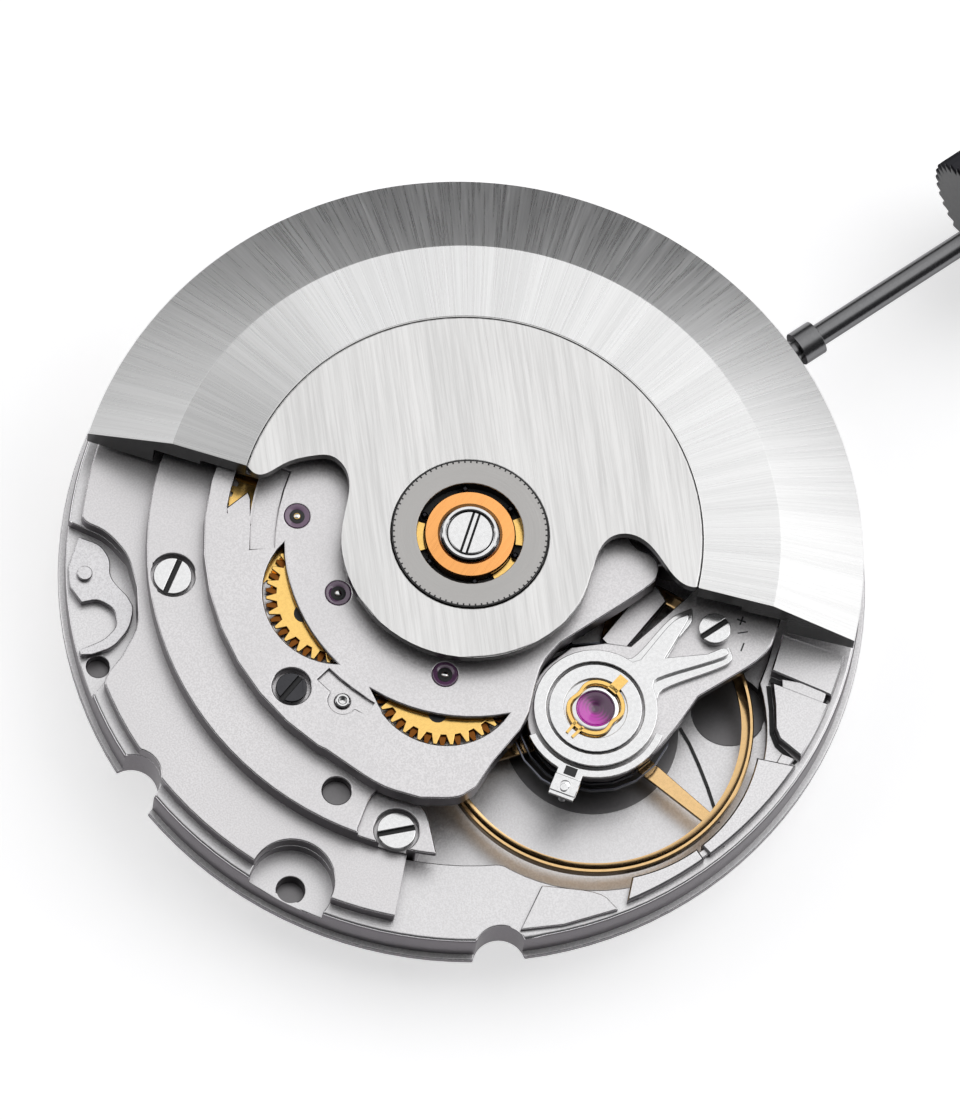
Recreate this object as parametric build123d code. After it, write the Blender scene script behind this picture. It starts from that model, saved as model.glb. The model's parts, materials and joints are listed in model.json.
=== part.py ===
from build123d import *
import math
import os

# Self-winding watch movement, millimetres. The origin is on the centre axis at the dial seat.
# +Z points from the dial to the winding weight, and +X runs along the winding stem to the crown.

# Fits
running_gap = 0.03
seat_gap = 0.02
clear_gap = 0.08
nest_gap = 0.06

# Main plate
flange_radius = 13.0
flange_top = 0.25
plate_radius = 12.8
plate_top = 1.45
plate_floor = 0.85
drawn_plate_radius = 12.8
rim_bevel = 0.12
train_well_radius = 10.2
dial_recess_top = 0.4
dial_recess_radius = 3.3

# Bridge levels
band_radius = 12.4
band_top = 2.0
bridge_radius = 10.28
bridge_low = 2.25
bridge_top = 2.75
bridge_wall_radius = 9.7
recess_low = 2.5

# Self-winding module levels
module_top = 3.5
module_roof = 3.3
lower_bridge_low = 2.76
lower_bridge_top = 2.88

# Winding weight
weight_radius = 12.75
bevel_share = 0.7843
plate_edge_share = 0.5867
weight_step_share = 0.8275
weight_inner_step_share = 0.706
drawn_edge_radius = 7.48
weight_low = 2.3
weight_edge_top = 2.95
weight_mid_low = 3.3
weight_inner_low = 3.62
weight_bevel_top = 4.3
weight_plate_low = 4.05
weight_plate_top = 4.42
weight_start_deg = -48.2
weight_end_deg = 127.5
weight_ring_radius = 2.52
ball_race_radius = 1.72
race_outer_radius = 1.47
race_inner_radius = 0.95
post_radius = 0.9
post_flange_radius = 1.35
post_top = 4.26
post_screw_radius = 0.92
post_screw_top = 4.6
race_top = 4.46
race_low = 3.95
weight_ring_top = 4.5

# Going train, with the tooth count, tooth size and place of each pair
barrel_teeth = 70
barrel_pinion_teeth = 10
barrel_distance = 6.0
barrel_angle_deg = 62.0
barrel_module = 2 * barrel_distance / (barrel_teeth + barrel_pinion_teeth)
centre_teeth = 64
third_pinion_teeth = 8
third_teeth = 60
seconds_pinion_teeth = 8
third_distance = 3.6
third_angle_deg = 205.0
centre_module = 2 * third_distance / (centre_teeth + third_pinion_teeth)
third_module = 2 * third_distance / (third_teeth + seconds_pinion_teeth)
seconds_teeth = 72
escape_pinion_teeth = 6
escape_distance = 3.51
escape_angle_deg = -31.9
seconds_module = 2 * escape_distance / (seconds_teeth + escape_pinion_teeth)
escape_teeth = 20
escape_radius = 2.0
balance_centre = (0.24, -6.74)
pallet_share = 0.42
balance_radius = 5.17
balance_inner_radius = 4.78
balance_low = 1.5
balance_top = 1.85
hairspring_turns = 9
hairspring_start_radius = 0.5
hairspring_end_radius = 2.7
hairspring_thickness = 0.05
hairspring_low = 2.0
hairspring_top = 2.15
hairspring_end_deg = -146.0
hairspring_steps_per_turn = 20

# Self-winding train
reverser_teeth = 27
weight_gear_teeth = 29
reverser_distance = 4.522
reverser_angle_deg = 167.4
reverser_spread_deg = 57.65
reverser_module = 2 * reverser_distance / (reverser_teeth + weight_gear_teeth)
reduction_centre = (-3.98, 3.88)
reduction_teeth = 36
reverser_pinion_teeth = 8
driver_distance = 2.88
driver_teeth = 40
reduction_pinion_teeth = 8
ratchet_teeth = 50
driver_pinion_teeth = 8
ratchet_module = 0.15
crown_wheel_teeth = 29

# Stem and crown
stem_height = 1.8
stem_radius = 0.36
stem_bore_radius = 0.4
collar_radius = 0.58
crown_radius = 2.6
crown_x = 20.5
crown_length = 2.4

# Motion work under the dial
motion_module = 0.12
cannon_teeth = 10
minute_teeth = 30
minute_pinion_teeth = 8
hour_teeth = 32
minute_distance = motion_module * (cannon_teeth + minute_teeth) / 2
date_gear_teeth = 16
date_wheel_teeth = 32
date_ring_teeth = 31
date_ring_outer_radius = 11.9
date_ring_width = 1.6
date_tooth_height = 0.44
date_module = 0.18
date_idler_teeth = 24
date_idler_angle_deg = 80.0
date_finger_length = 3.45
date_finger_bite = 0.19


def polar(radius, angle_deg, at=(0, 0)):
    """Returns the point at a radius and angle from a centre."""
    turn = math.radians(angle_deg)
    return (at[0] + radius * math.cos(turn), at[1] + radius * math.sin(turn))


def arc_points(radius, start_deg, end_deg, steps, at=(0, 0)):
    """Returns evenly spaced points along an arc, both ends included."""
    span = end_deg - start_deg
    return [polar(radius, start_deg + span * i / steps, at) for i in range(steps + 1)]


def third_corner(first, second, first_length, second_length):
    """Returns the corner of a triangle on two known points and side lengths, on the left of the line."""
    along_x = second[0] - first[0]
    along_y = second[1] - first[1]
    base = math.hypot(along_x, along_y)
    foot = (first_length**2 - second_length**2 + base**2) / (2 * base)
    height = math.sqrt(first_length**2 - foot**2)
    corner_x = first[0] + (foot * along_x - height * along_y) / base
    corner_y = first[1] + (foot * along_y + height * along_x) / base
    return (corner_x, corner_y)


def bearing_deg(start, end):
    """Returns the direction from one point to another in degrees."""
    return math.degrees(math.atan2(end[1] - start[1], end[0] - start[0]))


def meshed_turn(turn_deg, teeth, toward_deg, next_teeth):
    """Returns the turn that puts the next gear's gap on this gear's tooth."""
    offset = turn_deg - toward_deg
    half_step = 180.0 / next_teeth
    return toward_deg + 180.0 - offset * teeth / next_teeth + half_step


def disc(radius, low, high, at=(0, 0)):
    """Returns an upright cylinder between two heights."""
    return extrude(Pos(at[0], at[1], low) * Circle(radius), amount=high - low, dir=(0, 0, 1))


def ring(outer, inner, low, high, at=(0, 0)):
    """Returns an upright tube between two heights."""
    face = Circle(outer) - Circle(inner)
    return extrude(Pos(at[0], at[1], low) * face, amount=high - low, dir=(0, 0, 1))


def prism(points, low, high):
    """Returns an upright solid on a closed outline."""
    face = make_face(Polyline(*points, close=True))
    return extrude(Pos(0, 0, low) * face, amount=high - low, dir=(0, 0, 1))


def lengthwise(shape, start_x, height):
    """Lays an upright shape down along the stem, from its start towards the crown."""
    return Pos(start_x, 0, height) * Rot(0, 90, 0) * shape


def gear_points(teeth, module, turn_deg, crest_share=0.0):
    """Returns a gear outline with straight flanks, with a flat crest where a share is given."""
    tip_share = 0.85
    root_share = 1.25
    foot_share = 0.4
    tip = module * (teeth / 2 + tip_share)
    root = module * (teeth / 2 - root_share)
    step = 360.0 / teeth
    points = []
    for i in range(teeth):
        middle = turn_deg + step * i
        if crest_share > 0:
            foot = step * (1 - crest_share) * foot_share
            points.append(polar(root, middle - foot))
            points.append(polar(tip, middle - step * crest_share / 2))
            points.append(polar(tip, middle + step * crest_share / 2))
            points.append(polar(root, middle + foot))
        else:
            points.append(polar(root, middle - step / 2))
            points.append(polar(tip, middle))
    return points


def gear(teeth, module, turn_deg, low, high, at=(0, 0), crest_share=0.0):
    """Returns a flat gear at a place."""
    return Pos(at[0], at[1], 0) * prism(gear_points(teeth, module, turn_deg, crest_share), low, high)


# Sizes that follow from the weight's, the date ring's and the plate's radius
bevel_radius = weight_radius * bevel_share
plate_edge_radius = weight_radius * plate_edge_share
weight_step_radius = weight_radius * weight_step_share
weight_inner_step_radius = weight_radius * weight_inner_step_share
date_ring_inner_radius = date_ring_outer_radius - date_ring_width
date_tooth_radius = date_ring_inner_radius - date_tooth_height
date_wheel_distance = date_tooth_radius + date_finger_bite - date_finger_length

# Places that follow from the sizes above
barrel_centre = polar(barrel_distance, barrel_angle_deg)
third_centre = polar(third_distance, third_angle_deg)
escape_centre = polar(escape_distance, escape_angle_deg)
first_reverser = polar(reverser_distance, reverser_angle_deg)
second_reverser = polar(reverser_distance, reverser_angle_deg + reverser_spread_deg)
ratchet_radius = ratchet_module * ratchet_teeth / 2
driver_pinion_radius = ratchet_module * driver_pinion_teeth / 2
crown_wheel_radius = ratchet_module * crown_wheel_teeth / 2
driver_reach = ratchet_radius + driver_pinion_radius
driver_centre = third_corner(reduction_centre, barrel_centre, driver_distance, driver_reach)
crown_wheel_reach = math.sqrt((ratchet_radius + crown_wheel_radius) ** 2 - barrel_centre[1] ** 2)
crown_wheel_centre = (barrel_centre[0] + crown_wheel_reach, 0)
pallet_centre = (
    escape_centre[0] + pallet_share * (balance_centre[0] - escape_centre[0]),
    escape_centre[1] + pallet_share * (balance_centre[1] - escape_centre[1]),
)
minute_centre = (minute_distance, 0)
date_idler_distance = date_module * (date_gear_teeth + date_idler_teeth) / 2
date_idler_centre = polar(date_idler_distance, date_idler_angle_deg)
date_pair_distance = date_module * (date_idler_teeth + date_wheel_teeth) / 2
date_wheel_centre = third_corner((0, 0), date_idler_centre, date_wheel_distance, date_pair_distance)

# Wheel heights, low and top
centre_wheel_span = (0.66, 0.78)
centre_pinion_span = (0.92, 1.16)
barrel_teeth_span = (0.95, 1.12)
drum_top = 2.05
barrel_top = 2.2
third_wheel_span = (1.24, 1.34)
third_pinion_span = (0.63, 0.81)
seconds_pinion_span = (1.2, 1.42)
seconds_wheel_span = (2.3, 2.42)
escape_wheel_span = (1.2, 1.3)
escape_pinion_span = (2.26, 2.46)
pallet_span = (1.0, 1.12)
ratchet_span = (2.56, 2.72)
crown_wheel_span = (2.6, 2.72)
driver_pinion_span = (2.53, 2.74)
reduction_span = (2.93, 3.0)
reduction_pinion_span = (3.0, 3.12)
driver_span = (3.03, 3.1)
lower_reverser_span = (3.03, 3.11)
upper_reverser_span = (3.14, 3.22)
reverser_pinion_span = (2.91, 3.03)
weight_gear_span = (3.12, 3.24)

# Small standard pieces
pivot_radius = 0.1
arbor_radius = 0.2
jewel_radius = 0.4
jewel_height = 0.16
jewel_bore_radius = pivot_radius + seat_gap
screw_head_radius = 0.62
screw_head_height = 0.32
screw_slot_width = 0.15
screw_slot_depth = 0.14
screw_shank_radius = 0.34
counterbore_radius = 0.72
bridge_screw_places = [(-8.25, 4.68), (-7.3, -6.4), (-5.95, -4.75), (5.9, -3.3), (8.1, -5.2), (-4.6, 8.3)]
bridge_screw_tops = [2.66, 2.46, 2.7, 2.7, 2.6, 2.7]
bridge_screw_turns = [32, 157, 70, 20, 100, 60]
module_screw_places = [(-7.5, -0.78), (2.97, 1.0)]
module_screw_top = 3.4
module_screw_turns = [16, 75]
module_screw_head_radius = 0.5
module_screw_reach = 0.55
shank_reach = 0.75
steady_pin_place = (-6.42, -2.08)
steady_pin_radius = 0.24
module_jewel_places = [reduction_centre, first_reverser, second_reverser]


def arbor(at, body_low, body_high, low, high):
    """Returns a wheel's arbor with a pivot at each end."""
    body = disc(arbor_radius, body_low, body_high, at)
    return body + disc(pivot_radius, low, high, at)


def jewel(at, low):
    """Returns a pierced bearing jewel."""
    return ring(jewel_radius, jewel_bore_radius, low, low + jewel_height, at)


def screw(at, top, turn_deg, reach, head_radius=screw_head_radius):
    """Returns a slotted cheese-head screw standing upright."""
    head = disc(head_radius, top - screw_head_height, top, at)
    shank = disc(screw_shank_radius, top - screw_head_height - reach, top - screw_head_height, at)
    slot = Box(2 * head_radius + screw_slot_width, screw_slot_width, 2 * screw_slot_depth)
    return head + shank - Pos(at[0], at[1], top) * Rot(0, 0, turn_deg) * slot


def screw_seat(at, top, reach, low):
    """Returns the counterbore and shank hole that a screw sits in, with its top open."""
    open_above = 3 * screw_head_height
    head_low = top - screw_head_height
    bore = disc(counterbore_radius, head_low, top + open_above, at)
    return bore + disc(screw_shank_radius + seat_gap, min(low, head_low - reach), head_low, at)


def wedge(radius, start_deg, end_deg, low, high):
    """Returns a pie-shaped cutter about the centre axis."""
    steps = 6
    reach = radius / math.cos(math.radians((end_deg - start_deg) / steps / 2))
    points = [(0, 0)] + arc_points(reach, start_deg, end_deg, steps)
    return prism(points, low, high)


def at_rim(outline):
    """Moves an outline in or out with the plate's rim."""
    shift = plate_radius - drawn_plate_radius
    moved = []
    for x, y in outline:
        grown = 1 + shift / math.hypot(x, y)
        moved.append((x * grown, y * grown))
    return moved


def turned(points):
    """Revolves a half profile of radius and height about the centre axis."""
    face = make_face(Polyline(*[(r, 0, z) for r, z in points], close=True))
    return revolve(face, axis=Axis.Z)


# Outlines seen in plan
module_free_edge = [
    (-7.85, -3.15), (-7.15, -5.15), (-6.3, -6.2), (-5.3, -6.9), (-4.6, -6.9), (-3.65, -6.5),
    (-2.3, -6.1), (-1.7, -5.75), (-1.05, -5.15), (-0.4, -4.62), (0.5, -4.4), (4.2, -4.46),
    (4.65, -4.1), (4.72, -3.6), (4.3, -3.0), (5.0, 0.6), (4.6, 3.4), (3.0, 5.6), (1.6, 8.1),
]
module_arc_radius = 8.5
module_arc_start_deg = 79.0
module_arc_end_deg = 200.0
module_arc_steps = 14
train_bridge_outline = [
    (-6.8, -4.9), (-6.1, -5.6), (-5.2, -5.2), (-3.2, -3.4), (0.0, -2.3), (2.2, -2.9), (4.3, -3.5),
    (5.4, -4.15), (6.5, -4.0), (6.8, -3.2), (6.3, -2.5), (4.7, -2.35), (3.6, -1.75), (3.05, -0.9), (1.1, 1.2),
    (-1.1, 1.2), (-4.4, -0.4), (-6.3, -3.4),
]
cock_outline = [
    (-1.6, -8.2), (-0.6, -8.95), (0.9, -9.0), (2.2, -8.6), (3.3, -8.18), (5.95, -8.3), (7.0, -7.55),
    (8.1, -6.35), (9.1, -4.7), (8.3, -4.1), (6.8, -4.6), (5.0, -5.2), (2.5, -5.55), (1.9, -5.0),
    (0.9, -4.5), (-0.4, -4.6), (-1.5, -5.3), (-2.05, -6.3),
]
cock_foot_outline = [
    (6.2, -7.7), (6.9, -7.3), (7.95, -6.1), (8.85, -4.75), (8.2, -4.2), (6.9, -4.7), (6.0, -5.3),
]
pallet_bridge_outline = [
    (1.35, -4.2), (1.35, -3.6), (1.85, -3.35), (2.4, -3.7), (4.2, -4.9), (4.1, -5.7), (3.2, -5.8),
]
pallet_foot_place = (3.7, -5.25)
fork_half_outline = [
    (2.3, 0.09), (2.55, 0.22), (2.6, 0.32), (2.4, 0.28), (2.1, 0.12), (0.35, 0.12), (0.2, 0.35),
    (-0.3, 1.15), (-0.7, 1.15), (-0.72, 0.9), (-0.45, 0.85), (-0.22, 0.3),
]
index_low_outline = [
    (1.8, -5.75), (2.35, -6.0), (4.1, -5.5), (4.85, -5.65), (4.6, -6.05), (3.9, -6.25), (3.2, -6.6),
    (4.3, -7.3), (5.05, -7.42), (4.95, -7.8), (4.6, -7.9), (2.4, -7.35), (1.75, -7.8),
]
index_high_outline = [
    (1.9, -6.05), (2.4, -6.2), (4.05, -5.68), (4.6, -5.8),
    (4.5, -5.95), (3.1, -6.6), (4.3, -7.25), (4.9, -7.36),
    (4.92, -7.6), (4.7, -7.68), (2.4, -6.98), (1.9, -7.45),
]
index_inner_radius = 1.58
index_radius = 2.0
index_low = 2.78
index_step = 2.94
index_top = 3.1
band_start_deg = 62.0
band_end_deg = 224.0
bridge_right_deg = -8.0
bridge_cut_outline = [
    (-6.85, -4.9), (-6.05, -6.25), (-6.85, -8.1), (-8.0, -10.9),
    (-4.0, -13.5), (13.5, -13.5), (13.5, -1.3), (5.4, -1.3),
    (0.0, -1.0), (-5.0, -3.0),
]
facet_outline = [
    (-8.55, -6.1), (-8.35, -5.7), (-7.4, -5.05), (-6.85, -4.95), (-5.9, -6.2), (-6.85, -8.3), (-7.2, -8.1),
]
facet_top = 2.5
fastener_bay_outline = [
    (-9.55, 8.3), (-8.95, 7.3), (-8.85, 6.25), (-9.25, 5.2),
    (-9.95, 4.1), (-11.0, 3.55), (-12.1, 3.2), (-13.6, 3.0),
    (-14.2, 8.6), (-10.4, 10.2),
]
fastener_outline = [
    (-9.62, 7.85), (-9.2, 7.25), (-9.22, 6.65), (-9.6, 6.15),
    (-9.5, 5.3), (-9.55, 4.85), (-10.1, 4.35), (-10.9, 4.12),
    (-11.6, 4.3), (-11.92, 4.5), (-11.85, 4.68), (-11.0, 4.5), (-10.35, 4.65), (-10.1, 5.2), (-10.35, 5.75),
    (-10.85, 5.95), (-10.85, 6.6), (-10.5, 7.2),
]
fastener_pivot = (-10.22, 6.68)
fastener_turns = [0, -49]
foot_hole_place = (-11.6, 3.95)
foot_hole_radius = 0.36
threaded_bay_place = (-10.9, -5.75)
threaded_bay_radius = 1.35
threaded_hole_radius = 0.45
notch_places = [(-13.0, 0.02), (-6.62, -11.35)]
notch_radius = 0.85
pit_radius = 5.6
pit_floor = 0.85
bore_well_place = (4.35, -8.6)
bore_well_radius = 1.2
bore_well_floor = 0.4
pad_top = 1.62
left_pad_outline = [(-5.75, -11.15), (-4.3, -10.3), (-2.85, -11.55), (-2.75, -12.35), (-4.5, -11.8)]
centre_pad_outline = [(-2.2, -12.2), (-2.0, -12.45), (1.1, -12.45), (1.1, -12.2)]
right_pad_outline = [(1.3, -12.5), (1.3, -12.15), (3.4, -11.6), (4.7, -10.95), (4.95, -11.35)]
far_pad_outline = [(5.35, -11.3), (5.2, -10.3), (6.1, -8.95), (7.2, -10.05)]
step_top = 1.9
barrel_outer_radius = 5.38
block_start = bridge_radius + nest_gap
block_top = 2.24
block_end = plate_radius - 0.5
block_half = 1.6
centre_well_radius = 3.4
centre_well_floor = 0.6
pinion_well_radius = 0.6
pinion_well_floor = 0.58
setting_teeth = 13
setting_well_radius = 1.0
setting_centre = (minute_distance + motion_module * (minute_teeth + setting_teeth) / 2, 0)
setting_hole_low = 0.3
fastener_floor = 1.0
fastener_pin_radius = 0.27
fastener_pin_low = 0.6
minute_well_radius = 2.0
date_seat_inner_radius = date_tooth_radius - 0.26
date_seat_top = 0.3
date_idler_well_radius = 2.45
date_wheel_well_radius = 3.53
jumper_well_outline = [(-0.04, 0.45), (0.96, 0.45), (2.36, -1.3), (2.36, -2.9), (-0.04, -3.3)]
stud_hole_top = 0.47
minute_hole_top = 0.55
plate_jewel_low = 0.4
plate_pivot_low = 0.38
barrel_pivot_radius = 0.45
barrel_pivot_low = 0.62
screw_hole_low = 0.5


def main_plate():
    """Returns the main plate with its rim, wells, pits, stem channel and dial-side recesses."""
    rim = [
        (0, flange_top), (plate_radius, flange_top), (plate_radius, plate_top - rim_bevel),
        (plate_radius - rim_bevel, plate_top), (0, plate_top),
    ]
    plate = disc(flange_radius, 0, flange_top) + turned(rim)
    open_top = plate_top + band_top
    plate -= disc(train_well_radius, plate_floor, open_top)
    plate -= disc(barrel_outer_radius + clear_gap + nest_gap, plate_floor, open_top, barrel_centre)
    plate -= disc(pit_radius, pit_floor, open_top, balance_centre)
    for outline in (left_pad_outline, centre_pad_outline, right_pad_outline):
        plate += prism(at_rim(outline), plate_top, pad_top)
    plate += prism(at_rim(far_pad_outline), plate_top, step_top)
    near_corners = [(block_start, -block_half), (block_end, -block_half)]
    far_corners = [(block_end, block_half), (block_start, block_half)]
    corners = near_corners + far_corners
    plate += prism(corners, plate_floor, block_top)
    plate -= lengthwise(disc(stem_bore_radius, 0, flange_radius), block_start - clear_gap, stem_height)
    plate -= disc(centre_well_radius, centre_well_floor, plate_floor)
    plate -= disc(pinion_well_radius, pinion_well_floor, plate_floor, third_centre)
    plate -= disc(setting_well_radius, pinion_well_floor, plate_floor, setting_centre)
    plate -= prism(fastener_bay_outline, fastener_floor, open_top)
    second_bay = Rot(0, 0, fastener_turns[1]) * prism(fastener_bay_outline, fastener_floor, open_top)
    plate -= second_bay
    for turn in fastener_turns:
        plate -= Rot(0, 0, turn) * disc(foot_hole_radius, 0, fastener_floor, foot_hole_place)
        plate -= Rot(0, 0, turn) * disc(fastener_pin_radius, fastener_pin_low, fastener_floor, fastener_pivot)
    plate -= disc(threaded_bay_radius, fastener_floor, open_top, threaded_bay_place)
    plate -= disc(threaded_hole_radius, 0, fastener_floor, threaded_bay_place)
    plate -= disc(bore_well_radius, bore_well_floor, plate_floor, bore_well_place)
    for place in notch_places:
        plate -= disc(notch_radius, 0, open_top, place)
    plate -= disc(dial_recess_radius, 0, dial_recess_top)
    plate -= disc(minute_well_radius, 0, dial_recess_top, minute_centre)
    plate -= disc(setting_well_radius, 0, dial_recess_top, setting_centre)
    plate -= ring(date_ring_outer_radius + clear_gap, date_seat_inner_radius, 0, date_seat_top)
    plate -= disc(date_idler_well_radius, 0, date_seat_top, date_idler_centre)
    plate -= disc(date_wheel_well_radius, 0, date_seat_top, date_wheel_centre)
    plate -= Pos(-date_tooth_radius, 0, 0) * prism(jumper_well_outline, 0, date_seat_top)
    for place in (date_idler_centre, date_wheel_centre):
        plate -= disc(pivot_radius + running_gap, date_seat_top, stud_hole_top, place)
    plate -= disc(lever_pivot_radius + running_gap, date_seat_top, stud_hole_top, jumper_pivot)
    plate -= disc(pivot_radius + running_gap, dial_recess_top, minute_hole_top, minute_centre)
    for place in (setting_lever_pivot, yoke_pivot):
        plate -= disc(lever_pivot_radius + running_gap, pinion_well_floor, plate_floor, place)
    plate -= disc(cannon_bore, 0, plate_floor)
    for place in (third_centre, escape_centre, pallet_centre, balance_centre):
        plate -= disc(jewel_radius, plate_jewel_low, plate_jewel_low + jewel_height, place)
        plate -= disc(pivot_radius + running_gap, plate_pivot_low, plate_floor, place)
    for place in (escape_centre, pallet_centre, balance_centre):
        plate -= disc(jewel_radius, plate_jewel_low, plate_floor, place)
    plate -= disc(arbor_radius + running_gap, setting_hole_low, plate_floor, setting_centre)
    plate -= disc(barrel_pivot_radius + running_gap, barrel_pivot_low, plate_floor, barrel_centre)
    for place in bridge_screw_places:
        plate -= disc(screw_shank_radius + seat_gap, screw_hole_low, open_top, place)
    return plate


# Sizes of the bridges and the parts that they carry
foot_radius = 0.85
bridge_hole_radius = 0.46
bridge_hole_place = (-8.17, -4.29)
bridge_jewel_low = 2.55
module_jewel_low = 3.34
ratchet_clear_radius = 3.95
crown_wheel_clear_radius = 2.38
seconds_clear_radius = 3.5
pinion_slot = [(7.22, -0.9), (8.3, -0.9), (8.3, 0.9), (7.22, 0.9)]
stem_pocket = [(5.6, -0.75), (10.4, -0.75), (10.4, 0.75), (5.6, 0.75)]
stem_pocket_top = 2.42
crown_wheel_post_radius = 0.5
reducer_clear_radius = 2.64
reverser_clear_radius = 2.48
module_bore_radius = 2.66
race_shoulder = 3.93
window_radius = 2.42
window_inner_radius = 5.92
sight_outer_radius = 7.8
sight_inner_radius = 7.05
sight_start_deg = 127.0
sight_end_deg = 138.0
channel_outer_radius = 7.0
channel_inner_radius = 6.2
channel_start_deg = 122.0
channel_end_deg = 147.0
channel_floor = 3.36
groove_outer_radius = 6.75
groove_inner_radius = 6.25
groove_start_deg = 189.0
groove_end_deg = 206.0
pin_well_radius = 0.46
module_screw_clear = 0.62
cock_low = 2.35
cock_bore_radius = 0.5
pallet_bridge_low = 1.33
pallet_bridge_top = 1.44
pallet_foot_radius = 0.45
eccentric_place = (5.0, -6.67)
eccentric_radius = 0.52
eccentric_head_low = 2.78
eccentric_shank_radius = 0.3


def train_bridge_face(margin=0):
    """Returns the train bridge's outline, grown by a margin."""
    face = make_face(Polyline(*train_bridge_outline, close=True))
    if margin > 0:
        face = offset(face, amount=margin, kind=Kind.INTERSECTION)
    for i in (2, 3):
        place = bridge_screw_places[i]
        face += Pos(place[0], place[1]) * Circle(foot_radius + margin)
    return face


def barrel_bridge():
    """Returns the barrel bridge with its raised inner band, lower outer band, feet and recesses."""
    inner = disc(bridge_radius, bridge_low, bridge_top)
    wall = ring(bridge_radius, bridge_wall_radius, plate_top, bridge_low)
    sweep = wedge(band_radius, bridge_right_deg, band_end_deg, plate_top, bridge_top)
    outer = ring(band_radius, bridge_wall_radius, plate_top, band_top)
    outer_sweep = wedge(band_radius, band_start_deg, band_end_deg, plate_top, bridge_top)
    bridge = inner + (wall & sweep) + (outer & outer_sweep)
    bridge -= prism(bridge_cut_outline, 0, post_screw_top)
    for i in (0, 1, 5):
        foot = disc(foot_radius, plate_floor, bridge_low, bridge_screw_places[i])
        bridge += foot & disc(train_well_radius - nest_gap, plate_floor, bridge_low)
    bridge -= prism(facet_outline, facet_top, bridge_top + clear_gap)
    bridge -= extrude(Pos(0, 0, bridge_low) * train_bridge_face(nest_gap), amount=bridge_top, dir=(0, 0, 1))
    bridge -= disc(seconds_clear_radius, plate_top, recess_low)
    bridge -= disc(barrel_outer_radius + clear_gap, 0, bridge_low, barrel_centre)
    bridge -= disc(ratchet_clear_radius, recess_low, post_screw_top, barrel_centre)
    bridge -= disc(crown_wheel_clear_radius, recess_low, post_screw_top, crown_wheel_centre)
    bridge += disc(crown_wheel_post_radius, recess_low, crown_wheel_span[1], crown_wheel_centre)
    bridge -= prism(stem_pocket, plate_top, stem_pocket_top)
    bridge -= prism(pinion_slot, plate_top, post_screw_top)
    bridge -= click_place() * prism(click_well_outline, recess_low, post_screw_top)
    bridge -= disc(lever_pivot_radius + running_gap, bridge_low, recess_low, click_pivot())
    bridge -= disc(driver_pinion_radius + clear_gap, recess_low, post_screw_top, driver_centre)
    bridge -= disc(pivot_radius + running_gap, bridge_low + clear_gap, recess_low, driver_centre)
    bridge -= disc(barrel_pivot_radius + running_gap, bridge_low, post_screw_top, barrel_centre)
    bridge -= prism(fastener_bay_outline, 0, post_screw_top)
    bridge -= Rot(0, 0, fastener_turns[1]) * prism(fastener_bay_outline, 0, band_top)
    bridge -= disc(threaded_bay_radius, 0, post_screw_top, threaded_bay_place)
    for place in notch_places:
        bridge -= disc(notch_radius, 0, band_top, place)
    for i in (0, 1, 5):
        bridge -= screw_seat(bridge_screw_places[i], bridge_screw_tops[i], shank_reach, 0)
    for place in module_screw_places:
        bridge -= disc(screw_shank_radius + seat_gap, bridge_low, bridge_top, place)
    bridge -= disc(bridge_hole_radius, bridge_low, bridge_top, bridge_hole_place)
    return bridge


def train_bridge():
    """Returns the train bridge with its two feet, jewel seats and screw holes."""
    face = Pos(0, 0, recess_low) * train_bridge_face()
    bridge = extrude(face, amount=bridge_top - recess_low, dir=(0, 0, 1))
    for i in (2, 3):
        bridge += disc(foot_radius, plate_floor, recess_low, bridge_screw_places[i])
        bridge -= screw_seat(bridge_screw_places[i], bridge_screw_tops[i], shank_reach, 0)
    for place in ((0, 0), third_centre, escape_centre):
        bridge -= disc(jewel_radius, bridge_jewel_low, bridge_top, place)
        bridge -= disc(arbor_radius + running_gap, recess_low, bridge_jewel_low, place)
    return bridge


def wheel_cavity(margin, low, high):
    """Returns the joined round wells of the self-winding wheels, shrunk by a margin."""
    well = disc(module_bore_radius - margin, low, high)
    well += disc(reducer_clear_radius - margin, low, high, reduction_centre)
    well += disc(reducer_clear_radius - margin, low, high, driver_centre)
    well += disc(reverser_clear_radius - margin, low, high, first_reverser)
    well += disc(reverser_clear_radius - margin, low, high, second_reverser)
    return well


def sector(outer, inner, start_deg, end_deg, low, high):
    """Returns a part of a ring between two angles."""
    steps = 4
    points = arc_points(outer, start_deg, end_deg, steps) + arc_points(inner, end_deg, start_deg, steps)
    return prism(points, low, high)


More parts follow.
